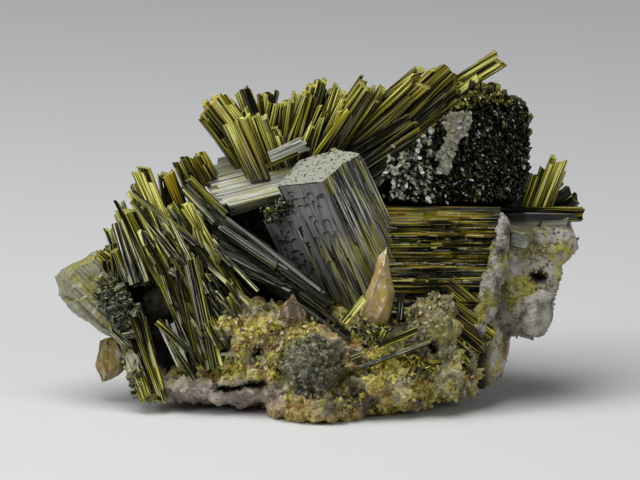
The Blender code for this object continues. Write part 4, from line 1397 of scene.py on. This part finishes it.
def rock_material(name="matrix_surface", grains=False):
    """The granular matrix. Its grains also vary one by one, by their tone."""
    g = Graph(name)
    green, pink, dark, lip = g.split("zone")
    place = g.node("ShaderNodeTexCoord").outputs["Object"]
    speck = g.noise(place, 1500.0, 3.0, 0.7)
    wander = g.noise(place, 330.0, 3.0, 0.6)
    broad = g.noise(place, 120.0, 2.0, 0.6)
    base = g.mix(green, (0.34, 0.29, 0.18), (0.52, 0.45, 0.05))
    layers = [
        (g.span(wander, 0.50, 0.66), (0.25, 0.12, 0.012)),
        (g.times(pink, 0.85), (0.33, 0.27, 0.26)),
        (g.times(dark, 0.9, True), (0.022, 0.029, 0.021)),
        (g.times(lip, 0.7), (0.30, 0.19, 0.03)),
        (g.span(speck, 0.54, 0.66, 0.0, 0.8), (0.50, 0.49, 0.28)),
        (g.span(speck, 0.45, 0.34, 0.0, 0.85), (0.035, 0.028, 0.008)),
        (g.span(broad, 0.58, 0.68, 0.0, 0.85), (0.018, 0.014, 0.006)),
        # Dark values above 1 come only from the hollows: painted shade.
        (g.span(dark, 1.0, 1.6), (0.02, 0.016, 0.006)),
    ]
    if grains:
        shade, other, _, _ = g.split("tone")
        lit = g.span(dark, 0.3, 0.0, 0.0, 0.85)
        brighter = g.times(g.span(shade, 0.7, 1.0, 0.0, 0.7), g.span(dark, 0.2, 1.0, 1.0, 0.35))
        layers += [
            (brighter, (0.52, 0.51, 0.30)),
            (g.span(shade, 0.35, 0.0, 0.0, 0.8), (0.03, 0.028, 0.008)),
            (g.times(g.span(other, 0.75, 0.8), lit), (0.38, 0.36, 0.02)),
            (g.times(g.span(other, 0.12, 0.08), lit), (0.28, 0.13, 0.01)),
        ]
    for share, colour in layers:
        base = g.mix(share, base, colour)
    values = {"Base Color": base, "Roughness": 0.3 if grains else 0.6, "IOR": 1.65}
    return g.finish(values, g.plus(speck, wander), 0.6, 0.0004)


def core_material():
    """The massive parts between the crystals: nearly black inside as painted shade, paler at the
    two ends, with painted light on the grey body at the right.
    """
    g = Graph("core_surface")
    crust, pink, _, light = g.split("zone")
    place = g.node("ShaderNodeTexCoord").outputs["Object"]
    speck = g.noise(place, 1300.0, 3.0, 0.7)
    blotch = g.noise(place, 620.0, 4.0, 0.75)
    wander = g.noise(place, 220.0, 3.0, 0.6)
    # Painted shade: the near-black of the gaps between the crystals.
    deep = g.mix(g.span(wander, 0.35, 0.65), (0.003, 0.002, 0.002), (0.014, 0.013, 0.005))
    pale = g.mix(g.span(wander, 0.46, 0.60), (0.37, 0.35, 0.28), (0.33, 0.30, 0.06))
    for share, colour in (
        (g.span(blotch, 0.47, 0.36, 0.0, 0.8), (0.13, 0.12, 0.07)),
        (g.span(speck, 0.45, 0.33, 0.0, 0.8), (0.05, 0.045, 0.02)),
        (g.times(pink, g.span(wander, 0.62, 0.5)), (0.40, 0.38, 0.37)),
        # Painted light on the right end of the grey body, which the lamps leave dim.
        (g.times(light, 0.8), (0.50, 0.47, 0.41)),
        (g.span(blotch, 0.44, 0.33, 0.0, 0.6), (0.13, 0.12, 0.07)),
    ):
        pale = g.mix(share, pale, colour)
    base = g.mix(crust, deep, pale)
    base = g.mix(g.times(crust, g.span(speck, 0.60, 0.72)), base, (0.42, 0.42, 0.30))
    values = {"Base Color": base, "Roughness": 0.5, "Specular IOR Level": 0.2}
    return g.finish(values, g.plus(speck, wander), 0.7, 0.0005)


def gem_material(name, body, edge, streak, clear, rough):
    """A clear or cloudy crystal with fine lines along it."""
    g = Graph(name)
    place = g.node("ShaderNodeTexCoord").outputs["Object"]
    speck = g.noise(place, 900.0, 3.0, 0.65)
    wander = g.noise(place, 240.0, 2.0, 0.5)
    lines = g.lines(place, 1300.0, 160.0, 2.0, 0.6)
    base = g.mix(g.span(wander, 0.38, 0.62), body, edge)
    base = g.mix(g.span(lines, 0.54, 0.64), base, streak)
    base = g.mix(g.span(speck, 0.58, 0.7), base, (0.62, 0.56, 0.44))
    base = g.mix(g.span(speck, 0.40, 0.30), base, (0.10, 0.07, 0.03))
    values = {
        "Base Color": base,
        "Roughness": rough,
        "IOR": 1.8,
        "Transmission Weight": clear,
    }
    return g.finish(values, g.plus(speck, lines), 0.45, 0.0003)


def gem(name, outline, back, half, surface):
    """A wedge crystal with sharp edges and slightly stepped faces."""
    _, corners = wedge_corners(outline, back, half, 0.55)
    shape = divided_hull([placed(*corner) for corner in corners], 9)
    for corner in shape.verts:
        seat = Vector((corner.co.x, corner.co.y, corner.co.z * 0.5))
        push = noise.noise(seat * 1100) * 0.0002 + noise.noise(seat * 420) * 0.0004
        corner.co += corner.normal * (push - 0.0002)
    mesh = bpy.data.meshes.new(name)
    shape.to_mesh(mesh)
    shape.free()
    mesh.materials.append(surface)
    return new_object(name, mesh)


def area_light(name, place, size, power):
    data = bpy.data.lights.new(name, "AREA")
    data.shape = "RECTANGLE"
    data.size, data.size_y = size
    data.energy = power
    made = new_object(name, data)
    made.location = place
    look = Vector(LIT_PLACE) - Vector(place)
    made.rotation_euler = look.to_track_quat("-Z", "Y").to_euler()


def build_stage():
    """A pale floor, three soft lights and the camera at the photograph's angle."""
    bpy.context.scene.view_settings.view_transform = "Standard"
    g = Graph("floor_surface")
    values = {"Base Color": (0.60, 0.602, 0.606), "Roughness": 0.6, "Specular IOR Level": 0.2}
    g.fill_all(g.surface, values)
    bpy.ops.mesh.primitive_plane_add(size=8, location=(0, 0, -0.0001))
    floor = bpy.context.active_object
    floor.name = "floor"
    floor.data.materials.append(g.material)
    world = bpy.data.worlds.new("studio")
    bpy.context.scene.world = world
    world.use_nodes = True
    backdrop = world.node_tree.nodes["Background"]
    backdrop.inputs[0].default_value = (0.60, 0.61, 0.62, 1)
    backdrop.inputs[1].default_value = 0.15
    area_light("top", (-0.14, -0.10, 0.62), (0.6, 0.5), 4.6)
    area_light("left", (-0.70, -0.35, 0.42), (0.3, 0.4), 3.0)
    area_light("right", (0.60, -0.35, 0.30), (0.15, 0.30), 1.1)
    data = bpy.data.cameras.new("camera")
    camera = new_object("camera", data)
    look = Vector((0, TILT_COS, -TILT_SIN))
    camera.location = placed(*CAMERA_AIM) - look * CAMERA_DISTANCE
    camera.rotation_euler = look.to_track_quat("-Z", "Y").to_euler()
    data.sensor_width = 36
    data.lens = data.sensor_width * CAMERA_DISTANCE / (PHOTO_WIDTH * STEP)
    data.clip_end = 50
    bpy.context.scene.camera = camera


def dress(piece):
    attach(piece, "root")


def main():
    fine_store, chip_store, block_store, face_store = (Gathered() for _ in range(4))
    build_sheaves(fine_store, face_store)
    build_bundle_front(fine_store)
    build_chips(chip_store)
    build_prism(face_store)
    build_slab(face_store)
    build_band(face_store)
    for number, (outline, back, half, run, tint) in enumerate(CHUNKS):
        add_chunk(face_store, outline, back, half, run, tint, 40 + number)
    build_block(block_store, face_store)
    fine = fine_store.to_object("fine_crystals", epidote_material())
    chips = chip_store.to_object("broken_blocks", epidote_material("chip_surface", 0.2))
    prism = face_store.to_object("central_prism", face_material())
    surface = epidote_material("block_surface", 0.10, 0.55)
    block = block_store.to_object("end_on_crystals", surface)
    massive = core_material()
    core = build_lump(
        "crystal_mass", CORE_LUMPS, 0.0006, massive, 0.0011, 130, CORE_DENTS, core_shade
    )
    band = build_lump("pale_band", SMOOTH_LUMPS, 0.00032, massive, 0.0004, 800, (), band_shade)
    rock = build_lump(
        "matrix_skin", MATRIX_LUMPS, 0.00045, rock_material(), 0.0015, 230, MATRIX_DENTS,
        rock_shade,
    )
    grains = scatter_grains(
        "matrix_grains", rock, 15000, 0.0003, 0.0010, 3, rock_material("grain_surface", True),
        rock_shade, on_matrix,
    )
    crust_grains = scatter_grains(
        "crust_grains", core, 20000, 0.0002, 0.0006, 4, rock_material("crust_surface", True),
        crust_shade, on_crust,
    )
    for piece in (fine, chips, prism, block, core, band, crust_grains):
        dress(piece)
    for piece in (rock, grains):
        dress(piece)
    for name, (outline, back, half, *looks) in GEMS.items():
        piece = gem(name + "_gem", outline, back, half, gem_material(name, *looks))
        dress(piece)
        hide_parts(name + "_crystal")
    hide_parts("epidote_crystals")
    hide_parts("matrix")
    build_stage()


main()
